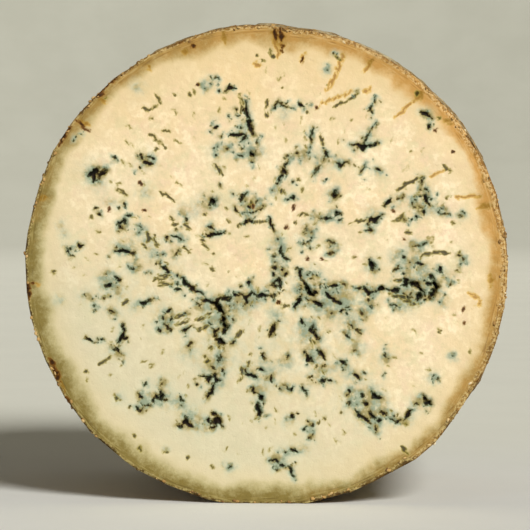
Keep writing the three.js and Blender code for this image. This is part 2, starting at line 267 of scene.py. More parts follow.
            (1.7, -8.5, -14.5, -8.2, -16, -9.8, -17), (1.6, -8, -7.8, -6.2, -7.8),
            (1.2, -19.5, -14, -17.5, -14, -16, -15, -15, -14), (3.2, -22.5, -15.5, -20, -18, -18, -20.5),
            (3.6, -18.8, -21.5, -17.8, -24.5, -17, -27), (1.6, -27, -14.4, -24, -15.3, -21.5, -16),
            (1.5, -21.5, -16, -19.5, -14), (2.4, -17, -26.5, -18.3, -29.5), (2.2, -20.5, -27, -22.5, -30),
            (2.4, -21.5, -31, -19.5, -31.8, -17.5, -33), (1.8, 1.2, -30, 2.5, -27.5, 3.5, -24.5),
            (1.6, 11.5, -18.3, 13.5, -15, 15, -12.5), (1.5, 12, -2, 13.5, -2.5, 14.5, -5.5, 16, -9),
            (3.2, 16, -9.5, 18, -12, 19.3, -12.8), (1.8, 20.3, -11.5),
            (2.0, 19.8, -16, 23, -16.7, 22.6, -18), (1.5, 24.5, -11.5, 26, -13, 29, -15.3, 31.3, -16),
            (1.2, 26.5, -8.6, 30, -8.5), (1.4, 14.5, -22.8, 14.7, -24.8),
            (2.4, 19, -25, 18.5, -27.5, 21.7, -30.8), (1.5, 26.7, -20.6), (1.5, 30.5, -19.6, 32, -19),
            (2.8, 28.7, 31, 28, 27.5), (2.2, 28.5, 22, 30.5, 20.6), (1.5, 30.2, 18.3), (1.6, 10.8, 27.7),
        ],
        "green": [
            (1.0, 2.5, 30.5), (1.2, 8, 27, 9.5, 26.8), (1.2, -4.5, 25, -3, 26.5), (1.0, -13, 24, -12, 22),
            (0.8, -10, 21, -5, 22, -1, 24), (1.3, 20.3, 19.5, 27.5, 19.2), (1.6, 15.7, 14.8, 17.2, 13.8),
            (1.6, 18.3, 13.2), (1.0, 15.5, 13), (1.2, 18.5, 11.5), (1.3, 15, 9.8, 15, 8.2),
            (1.1, 17.3, 9.8, 18.7, 9.8), (1.0, 18, 6.8), (1.0, 25.5, 9.8, 28.5, 8.5),
            (1.2, 24.8, 4.2, 27.8, 5.2), (1.2, 3, 4), (1.2, 3.5, 1.2), (1.0, 4.5, 10.5), (1.0, 17.5, -4),
            (1.0, 19, -4), (0.8, 18.5, -5.8), (0.9, 21.2, -4.5), (1.1, 22.5, -8, 22.5, -10),
            (1.0, 25.3, -9.3), (1.0, 24.3, -10.3), (1.2, 14, -10.3), (1.2, 12.8, -11.3),
            (1.2, 16, -14, 18.5, -15.2), (1.2, 31, -7, 33, -9), (1.2, 29, -10.5, 30, -11.5),
            (1.2, -11, -8.8), (1.0, -16, -17.5, -15, -17.3), (1.0, -13.6, -17, -13.4, -18.5),
            (1.0, -14, -22.5, -13.5, -23.5), (1.0, -19, 33), (0.9, -14, 29.3), (1.2, 11, 34.3),
            (1.2, -24, 24.5, -22.8, 24.6), (1.1, 33, -17.6, 34.5, -17.4), (1.2, -25, -24.5, -22.5, -24.6),
            (1.4, -30, -16.5, -27.5, -18), (1.0, 24, 34.5),
        ],
        "olive": [
            (1.2, -26.3, 11, -26.5, 8.5), (0.6, -26.5, 8.5, -24.5, 6.5), (0.9, -22.5, 4.2),
            (1.0, -23.5, -1.7, -22, -2), (1.0, -25.5, 20.8), (1.3, -6.5, 26.5, -7, 24.8), (1.1, -17, 23),
            (1.6, -16, 18), (1.8, 5.8, 31.2, 7.5, 29.3), (0.9, 13.5, 35.5), (0.9, 15.3, 31.5, 14.8, 30),
            (1.0, 14, 20, 15.5, 21.2, 17.3, 20.8), (1.1, 12, 17.3), (1.3, 7, -18, 8, -16.8, 9.2, -16.6),
            (2.2, -25, -21, -23.5, -20.3), (1.4, -29, -27, -27, -26.2), (1.3, -13.2, -30.3, -10, -27.5),
            (2.0, -24, -34.5, -22.5, -35), (1.6, -20, -33.8), (1.4, 25.3, -28.3, 26.3, -27.8),
            (0.6, -12, 16, -9.5, 16.8), (0.6, -6, 17.6, 0, 17.6),
        ],
        "brown": [
            (1.2, 8, 15.7), (1.2, 5, -15.7), (1.0, -6, 24.2), (0.7, 17.5, 2.5), (0.7, 23, 2.5),
            (0.7, 11, 24.5, 10.7, 22.5),
        ],
        "amber": [(1.6, -19.5, -33.5), (1.3, 4.8, -15.8), (1.4, -25.5, -27)],
        "haze": [
            (4.5, -28.5, 23.5, -25.5, 25), (5, 6, 5.5), (4, 5.5, -3), (7, -13, -17.5), (5, -25, -17.5),
            (5, 17, 13), (5, 19, -4), (8, 22, -16), (5, 13.5, -11.5), (3, 26.5, 28.5),
            (3, 22, 20.3, 26, 20.3), (4, 27, 7), (4.5, -5, 25), (5, -3, -12.5), (4, 4, -21), (6, -22, -23),
            (4, 5, 31), (3, -24, 15), (5, 30.5, -16), (4, -8, -16), (4, 29, -10), (4, 18, -28),
            (3, 4.5, 10),
        ],
        "curd": [
            (3.2, 29.3, -11.8), (2.2, -20.5, -29.7), (1.6, 30.2, 22.3), (1.3, -8.5, 25),
            (1.5, -24.5, -42.7),
        ],
    },
    "right": {
        "black": [
            (2.4, 43, 2.2, 43.8, 0, 44.2, -2.4), (1.5, 56.5, 3.3), (1.6, 62, 0.3, 64.6, 0),
            (1.5, 56, -3.8, 57, -3.5), (2.0, 57, -5.8, 58.6, -7, 58, -8.3, 56, -8.2),
            (2.8, 59.6, -7.5, 63, -8.8, 64.6, -11.2), (3.0, 64.2, -11.5, 62.3, -14.6),
            (2.0, 67.5, -4.2, 69.5, -6), (3.6, 69.5, -7, 70.3, -9.5, 69.8, -11.5),
            (3.0, 69.5, -12, 67, -14.2), (1.8, 66.5, -7, 68.5, -8.8), (1.4, 65.8, -14.8),
            (1.4, 72, -0.6, 72.7, -2.8), (1.5, 40, -9.1, 41.5, -11, 43, -12, 45, -11, 46.5, -10.2),
            (2.2, 46.7, -10.2, 48.7, -9.7), (1.7, 49.8, -9.8, 52.5, -10.7, 55, -10.3),
            (1.8, 42.2, -11.8, 42.8, -12.8),
        ],
        "green": [
            (1.6, 60, 7.5, 63, 8, 67, 9.5), (1.3, 79.5, 4, 81.8, 3, 81.5, 1.8), (1.0, 80.2, -0.2),
            (1.1, 59.5, 1.3), (1.2, 52.5, -2.6, 55, -2), (1.0, 54.6, -0.8), (1.0, 37, -10, 39.8, -9.4),
            (1.0, 66, -10.2, 65.5, -13), (1.0, 65.6, -6.3), (1.2, 76.8, -6.3, 75.6, -8.4),
            (1.1, 56.3, -11, 58.5, -13, 61, -13.6), (1.2, 43.4, -17.4), (1.6, 39, -19.3, 40, -20.7),
            (1.0, 42, -14, 42.4, -15.5), (1.2, 51.5, -16.1, 55, -17.3), (1.4, 33.8, -24.5, 36, -26),
            (1.3, 36.5, -26.5, 39.3, -28.3), (1.2, 32, -28.3, 34.6, -30.5), (1.5, 36.5, -35.6),
            (1.0, 71.5, -2.5),
        ],
        "olive": [
            (0.9, 63.5, 2.5, 66, 4.8, 70, 5.2, 76, 5), (1.5, 51, -12, 56, -13.5, 60, -15),
            (1.2, 57, -14.6, 60, -15.8, 63, -16.5), (0.9, 71, -28, 72.5, -26.8), (1.0, 56, -6.3, 53, -6.8),
        ],
        "brown": [(0.7, 82, -17.5, 81.8, -19), (0.7, 82, -24)],
        "amber": [
            (1.6, 84.5, -12, 88.5, -14.5), (2.0, 88, -16.5), (1.4, 93, -4, 93, -9), (1.2, 60, -10, 54, -12),
        ],
        "haze": [
            (7, 60, 0), (4, 54, 3), (5, 43, -13.5), (6, 66, -5), (4, 41.5, -18.5), (5, 37, -24),
            (5, 56, -13), (3.5, 62, 8), (3, 81, 2.5), (3.5, 75.5, -5), (4, 43.5, 0), (5, 33, -14),
            (3, 73.5, -15.5), (4, 58, -16.5), (4, 37.5, -33.5),
        ],
        "curd": [(4.6, 60, -10.8), (1.6, 68, -11.2), (3, 43, -9.6)],
    },
    "lower left": {
        "black": [
            (1.7, -53.7, -54.5, -51.8, -56.2), (1.6, -54.5, -59.8, -53, -61.2, -51.3, -60),
            (2.4, -46.6, -54.3, -44.6, -56, -43.3, -54.3), (1.8, -43.4, -54, -44.6, -52.5),
            (1.3, -47.6, -55.8, -47, -57.5), (1.1, -43.2, -56.6, -41.5, -56.8),
            (1.4, -35.9, -55.8, -35.8, -57.3), (2.2, -34.6, -63.5, -33.6, -65.6, -34.8, -66.8),
            (1.6, -35, -67, -37.5, -67.6), (1.7, -33.3, -66.3, -30.6, -68),
            (1.7, -27.6, -46.7, -25.4, -47.4), (1.6, -29.2, -50.4),
            (2.0, -24.6, -49.5, -24, -47.8, -22.2, -46.6, -21, -48.5, -19.6, -48.9),
            (2.0, -22.7, -51, -23.5, -53.5, -25, -56.5), (1.7, -23, -62.5, -20.3, -63.6),
            (2.2, -24, -66, -22, -66, -20.5, -64.8, -18.4, -68), (2.2, -23.2, -68.3, -21, -67.3),
            (1.6, -24.6, -65), (1.0, -44.2, -48.3),
        ],
        "green": [
            (1.2, -53, -58, -50.5, -59, -48.4, -59.2), (1.2, -50.9, -50.5, -50, -48.9),
            (1.0, -43.8, -50.5, -43.2, -49.5), (0.9, -36, -59), (1.2, -32.2, -34, -31.2, -32),
            (1.6, -19, -37, -19.3, -40, -20.5, -41), (1.5, -18.7, -43.8, -18.3, -45.3),
            (1.3, -15.5, -32.4, -13.3, -32.8), (1.2, -23.5, -42.5, -21.5, -43.7),
            (0.8, -14.5, -83.8, -16, -85.3),
        ],
        "olive": [
            (1.5, -25.7, -38.3), (1.2, -24.9, -39.5, -25.2, -41.4), (1.3, -52.7, -77.2),
            (0.8, -54.8, -71.7), (1.3, -42.8, -78.3, -40.8, -78.5), (1.4, -33.6, -81.5, -32.3, -81.1),
            (0.9, -63.3, -54.8, -61.7, -56.4), (0.9, -22.5, -85),
        ],
        "haze": [
            (4, -43.5, -50.5), (5, -50.5, -57), (4, -40.5, -57), (4.5, -32.5, -62.5), (4.5, -30.5, -66),
            (3, -36, -59.5), (4, -33, -36.5), (5, -23, -42), (4, -19.5, -39), (3, -21, -50),
            (4, -26.5, -67), (3, -16, -85), (2, -42, -77), (3, -62, -56),
        ],
    },
    "bottom": {
        "black": [
            (2.2, -1.3, -37.3, -1.7, -39.3), (1.5, -9, -43.9), (1.6, -9, -46, -6.5, -45.8, -4, -47),
            (1.8, -3.6, -44, -1.4, -44.7), (1.4, -6.6, -51.3, -5, -53.3, -3.3, -54),
            (2.4, -3.1, -54.3, -2, -56.5), (2.2, -3.7, -57.3, -3.5, -60, -2.8, -62, -3.5, -63.8),
            (1.2, -1.4, -58), (1.4, 10.2, -64, 11, -62.8), (1.6, 10.4, -77.2, 13.3, -78.2),
            (1.5, 6, -83.5, 7.2, -83.7), (1.6, 3.4, -85.5, 5, -85.5),
            (2.0, 8.8, -84.5, 10.3, -86.7, 11, -88.5), (1.9, 16, -36.5, 17, -39, 18.6, -40.5),
            (1.6, 21.4, -35.5, 23, -37.5, 24, -39), (1.6, 22.6, -47.3, 23.5, -49.4, 24.6, -47.8),
            (1.3, 30.4, -40, 33, -41.6), (1.4, 9.6, -52.7, 11.5, -50.7),
        ],
        "green": [
            (1.3, 1.5, -46, 2.3, -49), (1.3, -1, -63.6, 0.3, -62.8), (1.2, 7, -49.8, 9, -51.5, 9.5, -52.5),
            (1.0, 5.8, -52), (1.1, 15, -50, 16.5, -55), (1.4, 8.5, -37.3, 8.5, -39.5),
            (1.1, 32.2, -43.4, 31, -42), (1.1, 25.5, -48, 27.2, -48.6), (1.0, 17.5, -46.8, 19.2, -46.7),
            (1.1, 24.5, -42.3), (1.4, 18.4, -68, 19.4, -66), (0.9, 15, -68.5, 17.8, -68),
            (1.0, 18.9, -70.8, 17.5, -72.8), (1.5, 1, -81.8, 3.5, -82, 6, -83), (0.9, 8, -78.2),
        ],
        "olive": [
            (1.3, -8.3, -42.3, -7.3, -40), (1.5, -10.6, -43, -10, -47), (1.4, -10.3, -47.3, -12.5, -49.6),
            (1.0, -7, -37.5), (1.5, 20.5, -32, 18, -31.6), (1.0, 22, -65.8), (0.9, 24.2, -63.8),
            (0.9, 20.3, -42.5), (1.0, -3.7, -64.3),
        ],
        "haze": [
            (4, -2.3, -52), (4, 17, -29), (3.5, 19.5, -38), (3, 7.5, -51.5), (4, 4, -81.5), (3.5, 9, -78),
            (3, 15.5, -77), (3, 9, -65.5), (4, 23.5, -44), (3, 31, -42), (3, 2, -45), (3, 18.5, -70),
            (3, 8.5, -41), (3, -8, -44),
        ],
    },
    "lower right": {
        "black": [
            (2.0, 34.9, -57, 34, -58.8), (1.3, 33.8, -54.3), (1.5, 39.8, -54.6),
            (2.0, 43.3, -52.4, 44.5, -54.5, 47.3, -55.8), (2.0, 39.6, -58.2, 42, -58.2),
            (1.6, 37, -60.6, 39.2, -63.2, 43, -66.3), (2.2, 42.4, -61.3, 43.5, -63.4, 45.4, -63.6),
            (1.6, 46.5, -64, 46.7, -66), (1.8, 47, -62, 49, -61.7, 50.3, -63),
            (1.6, 57.4, -64.2, 59, -62.3, 60.1, -60.8), (2.6, 64.8, -54.8, 66, -56.6, 68.2, -58.2),
            (1.5, 36.2, -45.2, 37.5, -46, 38.8, -47.8),
        ],
        "green": [
            (1.0, 34.8, -52.5), (1.1, 37.5, -57.8), (1.2, 45, -66, 45.7, -69.5),
            (1.3, 50.3, -63, 52.5, -64.5, 53.5, -65.8, 54.5, -65.3, 56, -64, 57, -65.5),
            (1.2, 61.6, -58, 63.4, -57.8), (1.1, 63.6, -56), (1.3, 49.6, -35.8, 49.3, -38, 50.2, -40),
            (1.0, 48.5, -46), (1.2, 69, -46, 69.4, -49.3), (1.0, 76.5, -38, 78.2, -38.5),
        ],
        "olive": [(1.2, 58, -66), (1.0, 84.3, -36.2), (1.2, 56, -76, 59, -79)],
        "haze": [
            (7, 41.5, -56.5), (6, 43, -63), (4, 47.5, -58.5), (4, 63.3, -57.3), (3.5, 53, -63.5),
            (3, 59, -64.5), (3, 36, -46), (3, 49.5, -38), (3, 69, -47), (2.5, 77, -38), (4, 35.5, -54),
            (3, 46, -68),
        ],
        "curd": [(2.0, 42, -63.8), (1.6, 45.5, -65)],
    },
}

# how the strokes are drawn: sizes in mm, strengths and shares from 0 to 1
veinLook = {
    "seed": 11,
    "shift": (0.35, 0.95),      # by which all strokes move right and up
    "weight": {"black": 1.0, "green": 0.72},    # how dark and deep the middle of a stroke is
    # how far a stroke fades beyond its edge
    "soft": {"black": 0.6, "green": 0.6, "olive": 0.7, "brown": 0.7, "amber": 1.0, "curd": 0.4},
    "margin": 5,                # how far round a stroke points are looked for
    "taper": (0.1, 0.7),        # where on a half wave its width starts, and the power of that wave
    "glow": (0.74, 0.7, 0.3),   # haze round a dark stroke: strength, reach, and share of its width
    "depth": 0.3,               # mm of cleft for each square mm of width
    "deepest": 4.5,
    "cleftEdge": (0.35, 0.8),   # how far a cleft's edge reaches out, and the power of its slope
    "streakDepth": 0.25,
    "wobble": [(1.9, 0.55), (0.9, 0.25)],   # size and height of the noise that bends the strokes
    "ragged": (1.5, 0.5),       # size and share of the noise that varies their width
    "strays": 1.1,              # small flecks beside each 3 mm of a dark stroke
    "strayAway": (0.5, 2.6),
    "stray": {
        "kind": "green", "lean": 0.5, "length": (0.3, 0.9), "width": (0.45, 0.8), "strength": (0.35, 0.95),
    },
    "faintCount": 230,          # faint flecks all over the face
    "faintReach": 80,
    "faint": {
        "kind": "olive", "lean": 0.35, "length": (0.6, 2.6), "width": (0.4, 0.7), "strength": (0.25, 0.6),
    },
    "hazePatch": (0.6, 1.05),   # strength and steepness of the soft patches
    # thin grey-green mist between the veins: radius and place, strength
    "mist": [
        (17, 19, -33, 0.3), (15, -18, -37, 0.28), (13, -42, -2, 0.3), (11, -12, 21, 0.14),
        (13, 42, -42, 0.16), (11, -60, -10, 0.14), (10, 2, -38, 0.14), (10, 22, -60, 0.12),
    ],
}
# one seed for each noise, so that none repeats another
noiseSeeds = {
    "bendX": 21, "bendZ": 31, "ragged": 41, "bumps": 51, "rimRough": 61,
    "zoneWaves": 71, "zoneSwells": 74, "zoneFades": 76, "crumbs": 81,
}


def latticeNoise(points, size, seed):
    # smooth random values from -1 to 1, one for each point; the large numbers only scramble each cell's place
    place = points / size
    low = np.floor(place).astype(np.int64)
    part = place - low
    ease = part * part * (3 - 2 * part)
    total = np.zeros(len(points))
    for corner in range(8):
        step = np.array([corner & 1, corner >> 1 & 1, corner >> 2 & 1])
        cell = low + step
        mixed = cell[:, 0] * 374761393 + cell[:, 1] * 668265263 + cell[:, 2] * 1103515245 + seed * 974711
        mixed = (mixed ^ (mixed >> 13)) * 1274126177
        value = ((mixed ^ (mixed >> 16)) & 65535) / 32767.5 - 1
        total += value * np.prod(np.where(step, ease, 1 - ease), axis=1)
    return total


def layeredNoise(points, layers, seed):
    return sum(height * latticeNoise(points, size, seed + i) for i, (size, height) in enumerate(layers))


def flatPoints(x, z):
    return np.stack([x, np.zeros(len(x)), z], 1)


def insideStroke(x, z, path, halfWidth):
    # how far inside a stroke each point lies, in mm, and less than 0 outside; strokes taper to both ends
    if len(path) == 1:
        return halfWidth - np.hypot(x - path[0][0], z - path[0][1])
    lengths = [math.dist(a, b) for a, b in zip(path, path[1:])]
    start, power = veinLook["taper"]
    best = np.full(len(x), -99.0)
    done = 0.0
    for (ax, az), (bx, bz), length in zip(path, path[1:], lengths):
        along = ((x - ax) * (bx - ax) + (z - az) * (bz - az)) / length**2
        along = along.clip(0, 1)
        away = np.hypot(x - ax - along * (bx - ax), z - az - along * (bz - az))
        share = (done + along * length) / sum(lengths)
        wave = np.sin(np.pi * (start + (1 - 2 * start) * share))
        best = np.maximum(best, halfWidth * wave**power - away)
        done += length
    return best


def pathOf(numbers):
    return list(zip(numbers[::2], numbers[1::2]))


def shortFleck(pick, x, z, towards, look):
    lean = towards + pick.gauss(0, look["lean"])
    reach = pick.uniform(*look["length"])
    end = (x + reach * math.cos(lean), z + reach * math.sin(lean))
    return look["kind"], pick.uniform(*look["width"]), [(x, z), end], pick.uniform(*look["strength"])


def allStrokes():
    # the listed strokes, small strays beside the dark ones, and faint flecks that point to the middle
    pick = random.Random(veinLook["seed"])
    strokes = [
        (kind, row[0], pathOf(row[1:]), 1.0)
        for region in veins.values()
        for kind in ("black", "green", "olive", "amber", "brown", "curd")
        for row in region.get(kind, ())
    ]
    strays = []
    for kind, width, path, _ in strokes:
        if kind not in veinLook["weight"]:
            continue
        length = sum(math.dist(a, b) for a, b in zip(path, path[1:]))
        for _ in range(round(veinLook["strays"] * (1 + length / 3))):
            x, z = pick.choice(path)
            turn = pick.uniform(0, 2 * math.pi)
            away = width / 2 + pick.uniform(*veinLook["strayAway"])
            x, z = x + away * math.cos(turn), z + away * math.sin(turn)
            strays.append(shortFleck(pick, x, z, math.atan2(z, x), veinLook["stray"]))
    faint = []
    for _ in range(veinLook["faintCount"]):
        away = veinLook["faintReach"] * math.sqrt(pick.random())
        turn = pick.uniform(0, 2 * math.pi)
        x, z = away * math.cos(turn), away * math.sin(turn)
        faint.append(shortFleck(pick, x, z, turn, veinLook["faint"]))
    return strokes + strays + faint


strokes = allStrokes()
print("veins drawn:", len(strokes))

paintedNames = ("dark", "olive", "amber", "brown", "curd", "haze")


def keepHigher(values, near, more):
    values[near] = np.maximum(values[near], more)


def paintVeins(x, z):
    # what the veins do at each point of the cut face: masks for the material and the depth of the clefts
    x, z = x - veinLook["shift"][0], z - veinLook["shift"][1]
    points = flatPoints(x, z)
    bentX = x + layeredNoise(points, veinLook["wobble"], noiseSeeds["bendX"])
    bentZ = z + layeredNoise(points, veinLook["wobble"], noiseSeeds["bendZ"])
    size, share = veinLook["ragged"]
    ragged = 1 + share * latticeNoise(points, size, noiseSeeds["ragged"])
    painted = {name: np.zeros(len(x)) for name in paintedNames + ("depth",)}
    margin = veinLook["margin"]
    edge, power = veinLook["cleftEdge"]
    glowStrength, glowReach, glowShare = veinLook["glow"]
    for kind, width, path, strength in strokes:
        xs, zs = zip(*path)
        near = (x > min(xs) - margin) & (x < max(xs) + margin)
        near = np.flatnonzero(near & (z > min(zs) - margin) & (z < max(zs) + margin))
        inside = insideStroke(bentX[near], bentZ[near], path, width / 2 * ragged[near])
        soft = veinLook["soft"][kind]
        cover = ((inside + soft) / (width / 2 + soft)).clip(0, 1) * strength
        if kind in veinLook["weight"]:
            weight = veinLook["weight"][kind]
            keepHigher(painted["dark"], near, cover * weight)
            hole = min(veinLook["depth"] * width**2, veinLook["deepest"]) * weight * strength
            slope = ((inside + edge) / (width / 2 + edge)).clip(0, 1)
            keepHigher(painted["depth"], near, hole * slope**power)
            fall = np.minimum(inside, 0) / (glowReach + glowShare * width)
            keepHigher(painted["haze"], near, glowStrength * strength * np.exp(-(fall**2)))
        else:
            keepHigher(painted[kind], near, cover)
            if kind != "curd":
                keepHigher(painted["depth"], near, veinLook["streakDepth"] * cover)
    patches = []
    most, steep = veinLook["hazePatch"]
    for region in veins.values():
        for radius, *numbers in region.get("haze", ()):
            inside = insideStroke(bentX, bentZ, pathOf(numbers), 0)
            patches.append(most * np.exp(-steep * (inside / radius) ** 2))
    for radius, atX, atZ, strength in veinLook["mist"]:
        patches.append(strength * np.exp(-((bentX - atX) ** 2 + (bentZ - atZ) ** 2) / radius**2))
    for patch in patches:
        painted["haze"] = 1 - (1 - painted["haze"]) * (1 - patch)
    return painted


# the rind and the rim of the cut face
rind = {
    "seed": 3,
    "lumps": [(41, 0.5), (15, 0.8), (6.5, 0.75), (2.8, 0.45)],   # size and height, mm
    "rimLumps": [(41, 0.3), (12, 0.35), (4.5, 0.36), (1.8, 0.3)],
    "rimFade": 7.0,        # mm back from the cut face over which the lumps reach their full height
    "dentBack": 9,         # mm back from the cut face to where the dents have faded
    "dents": [             # where the outline leaves the round: direction and width in degrees, height in mm
        (314, 11, 1.3), (308, 3, 0.8), (336.5, 7, 0.6), (206.5, 4, -1.1), (83, 9, -0.8), (74, 4, -0.5),
        (44, 6, -0.4), (282, 2.5, -0.7), (252, 6, -0.8), (191, 2.5, -0.5), (222, 5, 0.5), (160, 8, 0.4),
    ],
    # how unevenly the coloured zone under the rind ends, in mm and as shares of its depth and strength
    "zoneWaves": [(5, 0.7), (2.2, 0.5)],
    "zoneSwells": [(24, 0.17), (9, 0.2)],
    "zoneFades": [(11, 0.16), (4, 0.14)],
    "spacing": 1.7,        # mm between the points of the rind
    "growth": 1.12,        # by which the spacing grows from ring to ring behind the rim
}
faceMesh = {
    "fine": (0.5, 0.12, 1),       # round the veins: mm between points, mm by which they are shaken, seed
    "coarse": (1.35, 0.3, 2),     # and on plain paste
    "busyFrom": {"dark": 0.02, "depth": 0.08, "olive": 0.2, "amber": 0.2, "brown": 0.2},
    "rimSpacing": 0.8,
    "rimRows": [0.7, 1.5, 2.4],   # mm in from the rim
    "rimGap": 0.5,
    "bumps": [(30, 0.35), (9, 0.16), (3.2, 0.1)],
    "rimRough": (2.1, 0.5, 1.3),  # size, height and reach of the roughness along the rim, mm
    "curdProud": 0.25,
}
rimCount = round(2 * math.pi * drumRadius / faceMesh["rimSpacing"])


def dentHeight(angle):
    degrees = np.degrees(angle) % 360
    total = np.zeros(len(angle))
    for at, width, height in rind["dents"]:
        off = (degrees - at + 180) % 360 - 180
        total += height * np.exp(-((off / (width / 2)) ** 2))
    return total


def drumPoints(angle, reach, back, radial, along):
    # points round the drum's axis, pushed out by the rind's lumps
    # the underside stays level as the drum tapers
    taper = drum["endTaper"] * (back / drumLength) ** 2
    plain = np.stack([
        (reach - taper) * np.cos(angle),
        np.full(len(angle), frontY + back),
        axisHeight - taper + (reach - taper) * np.sin(angle),
    ], 1)
    full = min(back / rind["rimFade"], 1.0)
    push = full * layeredNoise(plain, rind["lumps"], rind["seed"])
    push += (1 - full) * layeredNoise(plain, rind["rimLumps"], rind["seed"] + 5)
    push += dentHeight(angle) * max(0.0, 1 - back / rind["dentBack"])
    plain[:, 0] += push * radial * np.cos(angle)
    plain[:, 1] += push * along
    plain[:, 2] += push * radial * np.sin(angle)
    plain[:, 2] = np.maximum(plain[:, 2], 0)
    return plain


def around(count):
    return np.arange(count) * 2 * np.pi / count


rimPoints = drumPoints(around(rimCount), drumRadius, 0.0, 1.0, 0.0)
rimReach = np.hypot(rimPoints[:, 0], rimPoints[:, 2] - axisHeight)


def rimDistance(x, z):
    # mm from each point of the cut face to the rim
    angle = np.arctan2(z, x) % (2 * np.pi)
    turns = np.append(around(rimCount), 2 * np.pi)
    reach = np.interp(angle, turns, np.append(rimReach, rimReach[0]))
    return reach - np.hypot(x, z), angle


def hexGrid(spacing, reach):
    rows = int(reach / (spacing * math.sqrt(0.75))) + 1
    columns = int(reach / spacing) + 1
    row, column = np.meshgrid(np.arange(-rows, rows + 1), np.arange(-columns, columns + 1), indexing="ij")
    x = (column + 0.5 * (row % 2)).ravel() * spacing
    z = row.ravel() * spacing * math.sqrt(0.75)
    inside = np.hypot(x, z) < reach
    return x[inside], z[inside]


def shake(x, z, amount, seed):
    moves = np.random.default_rng(seed).uniform(-amount, amount, (2, len(x)))
    return x + moves[0], z + moves[1]


def facePoints():
    # fine points where the veins are, coarse ones on the plain paste, and rows that follow the rim
    innermost = faceMesh["rimRows"][-1] + faceMesh["rimGap"]
    parts = []
    for name in ("fine", "coarse"):
        spacing, amount, seed = faceMesh[name]
        x, z = shake(*hexGrid(spacing, drumRadius), amount, seed)
        painted = paintVeins(x, z)
        busy = np.any([painted[mask] > level for mask, level in faceMesh["busyFrom"].items()], axis=0)
        off, _ = rimDistance(x, z)
        keep = (busy == (name == "fine")) & (off > innermost)
        parts.append((x[keep], z[keep]))
        print("  face points", name, int(keep.sum()))
    angle = around(rimCount)
    for inset in faceMesh["rimRows"]:
        reach = rimReach - inset
        parts.append((reach * np.cos(angle), reach * np.sin(angle)))
    return np.concatenate([p[0] for p in parts]), np.concatenate([p[1] for p in parts])


def cutFace():
    # the cut face as points and triangles; its first points are the rim
    x, z = facePoints()
    x = np.concatenate([rimPoints[:, 0], x])
    z = np.concatenate([rimPoints[:, 2] - axisHeight, z])
    edges = [(i, (i + 1) % rimCount) for i in range(rimCount)]
    flat = [Vector((a, b)) for a, b in zip(x, z)]
    made = geometry.delaunay_2d_cdt(flat, edges, [], 1, 1e-5, False)
    corners = np.array([(v.x, v.y) for v in made[0]])
    x, z = corners[:, 0], corners[:, 1]
    painted = paintVeins(x, z)
    off, angle = rimDistance(x, z)
    flatPlace = flatPoints(x, z)
    bumps = layeredNoise(flatPlace, faceMesh["bumps"], noiseSeeds["bumps"])
    size, rough, fade = faceMesh["rimRough"]
    ragged = rough * np.exp(-((off / fade) ** 2)) * latticeNoise(flatPlace, size, noiseSeeds["rimRough"])
    y = frontY + painted["depth"] - bumps + ragged - faceMesh["curdProud"] * painted["curd"]
    painted["rim"] = off
    painted["angle"] = angle
    return np.stack([x, y, z + axisHeight], 1), np.array(made[2]), painted


def stitchRings(inner, outer, innerStart, outerStart):
    # triangles between two rings that may have different numbers of points
    faces = []
    i = j = 0
    while i < inner or j < outer:
        a, b = innerStart + i % inner, outerStart + j % outer
        if j < outer and (i >= inner or (j + 1) * inner <= (i + 1) * outer):
            faces.append((a, b, outerStart + (j + 1) % outer))
            j += 1
        else:
            if inner > 1:
                faces.append((a, b, innerStart + (i + 1) % inner))
            i += 1
    return faces


def rindRings():
    # count, reach, back, radial and along shares of each ring from just behind the rim to the end's middle
    spacing, shoulder = rind["spacing"], drum["shoulder"]
    straight = drumLength - shoulder
    back, step = 0.0, faceMesh["rimSpacing"]
    rings = []
    while back + step < straight:
        back += step
        rings.append((2 * math.pi * drumRadius / step, drumRadius, back, 1.0, 0.0))
        step = min(step * rind["growth"], spacing)
    arcSteps = round(math.pi / 2 * shoulder / spacing)
    for i in range(arcSteps + 1):
        turn = math.pi / 2 * i / arcSteps
        reach = drumRadius - shoulder * (1 - math.cos(turn))
        depth = straight + shoulder * math.sin(turn)
        rings.append((2 * math.pi * reach / spacing, reach, depth, math.cos(turn), math.sin(turn)))
    flatReach = drumRadius - shoulder
    flatSteps = round(flatReach / spacing)
    for i in range(1, flatSteps + 1):
        reach = flatReach * (1 - i / flatSteps)
        rings.append((max(1, 2 * math.pi * reach / spacing), reach, drumLength, 0.0, 1.0))
    return [(max(1, round(ring[0])),) + ring[1:] for ring in rings]


def wholeCheese():
    facePlaces, faceTriangles, painted = cutFace()
    places, triangles = [facePlaces], []
    start, firstCount, firstStart = len(facePlaces), rimCount, 0
    for count, reach, back, radial, along in rindRings():
        places.append(drumPoints(around(count), reach, back, radial, along))
        if firstCount <= count:
            triangles += stitchRings(firstCount, count, firstStart, start)
        else:
            triangles += [(a, c, b) for a, b, c in stitchRings(count, firstCount, start, firstStart)]
        firstCount, firstStart = count, start
        start += count
    allPlaces = np.concatenate(places)
    allTriangles = np.concatenate([faceTriangles, np.array(triangles)])
    return allPlaces, allTriangles, len(facePlaces), len(faceTriangles), painted


def smoothMesh(name, places, faces):
    mesh = bpy.data.meshes.new(name)
    mesh.from_pydata(places, [], faces)
    mesh.polygons.foreach_set("use_smooth", np.ones(len(faces), bool))
    return mesh


def addAttribute(mesh, name, values):
    mesh.attributes.new(name, "FLOAT", "POINT").data.foreach_set("value", values.astype(np.float32))


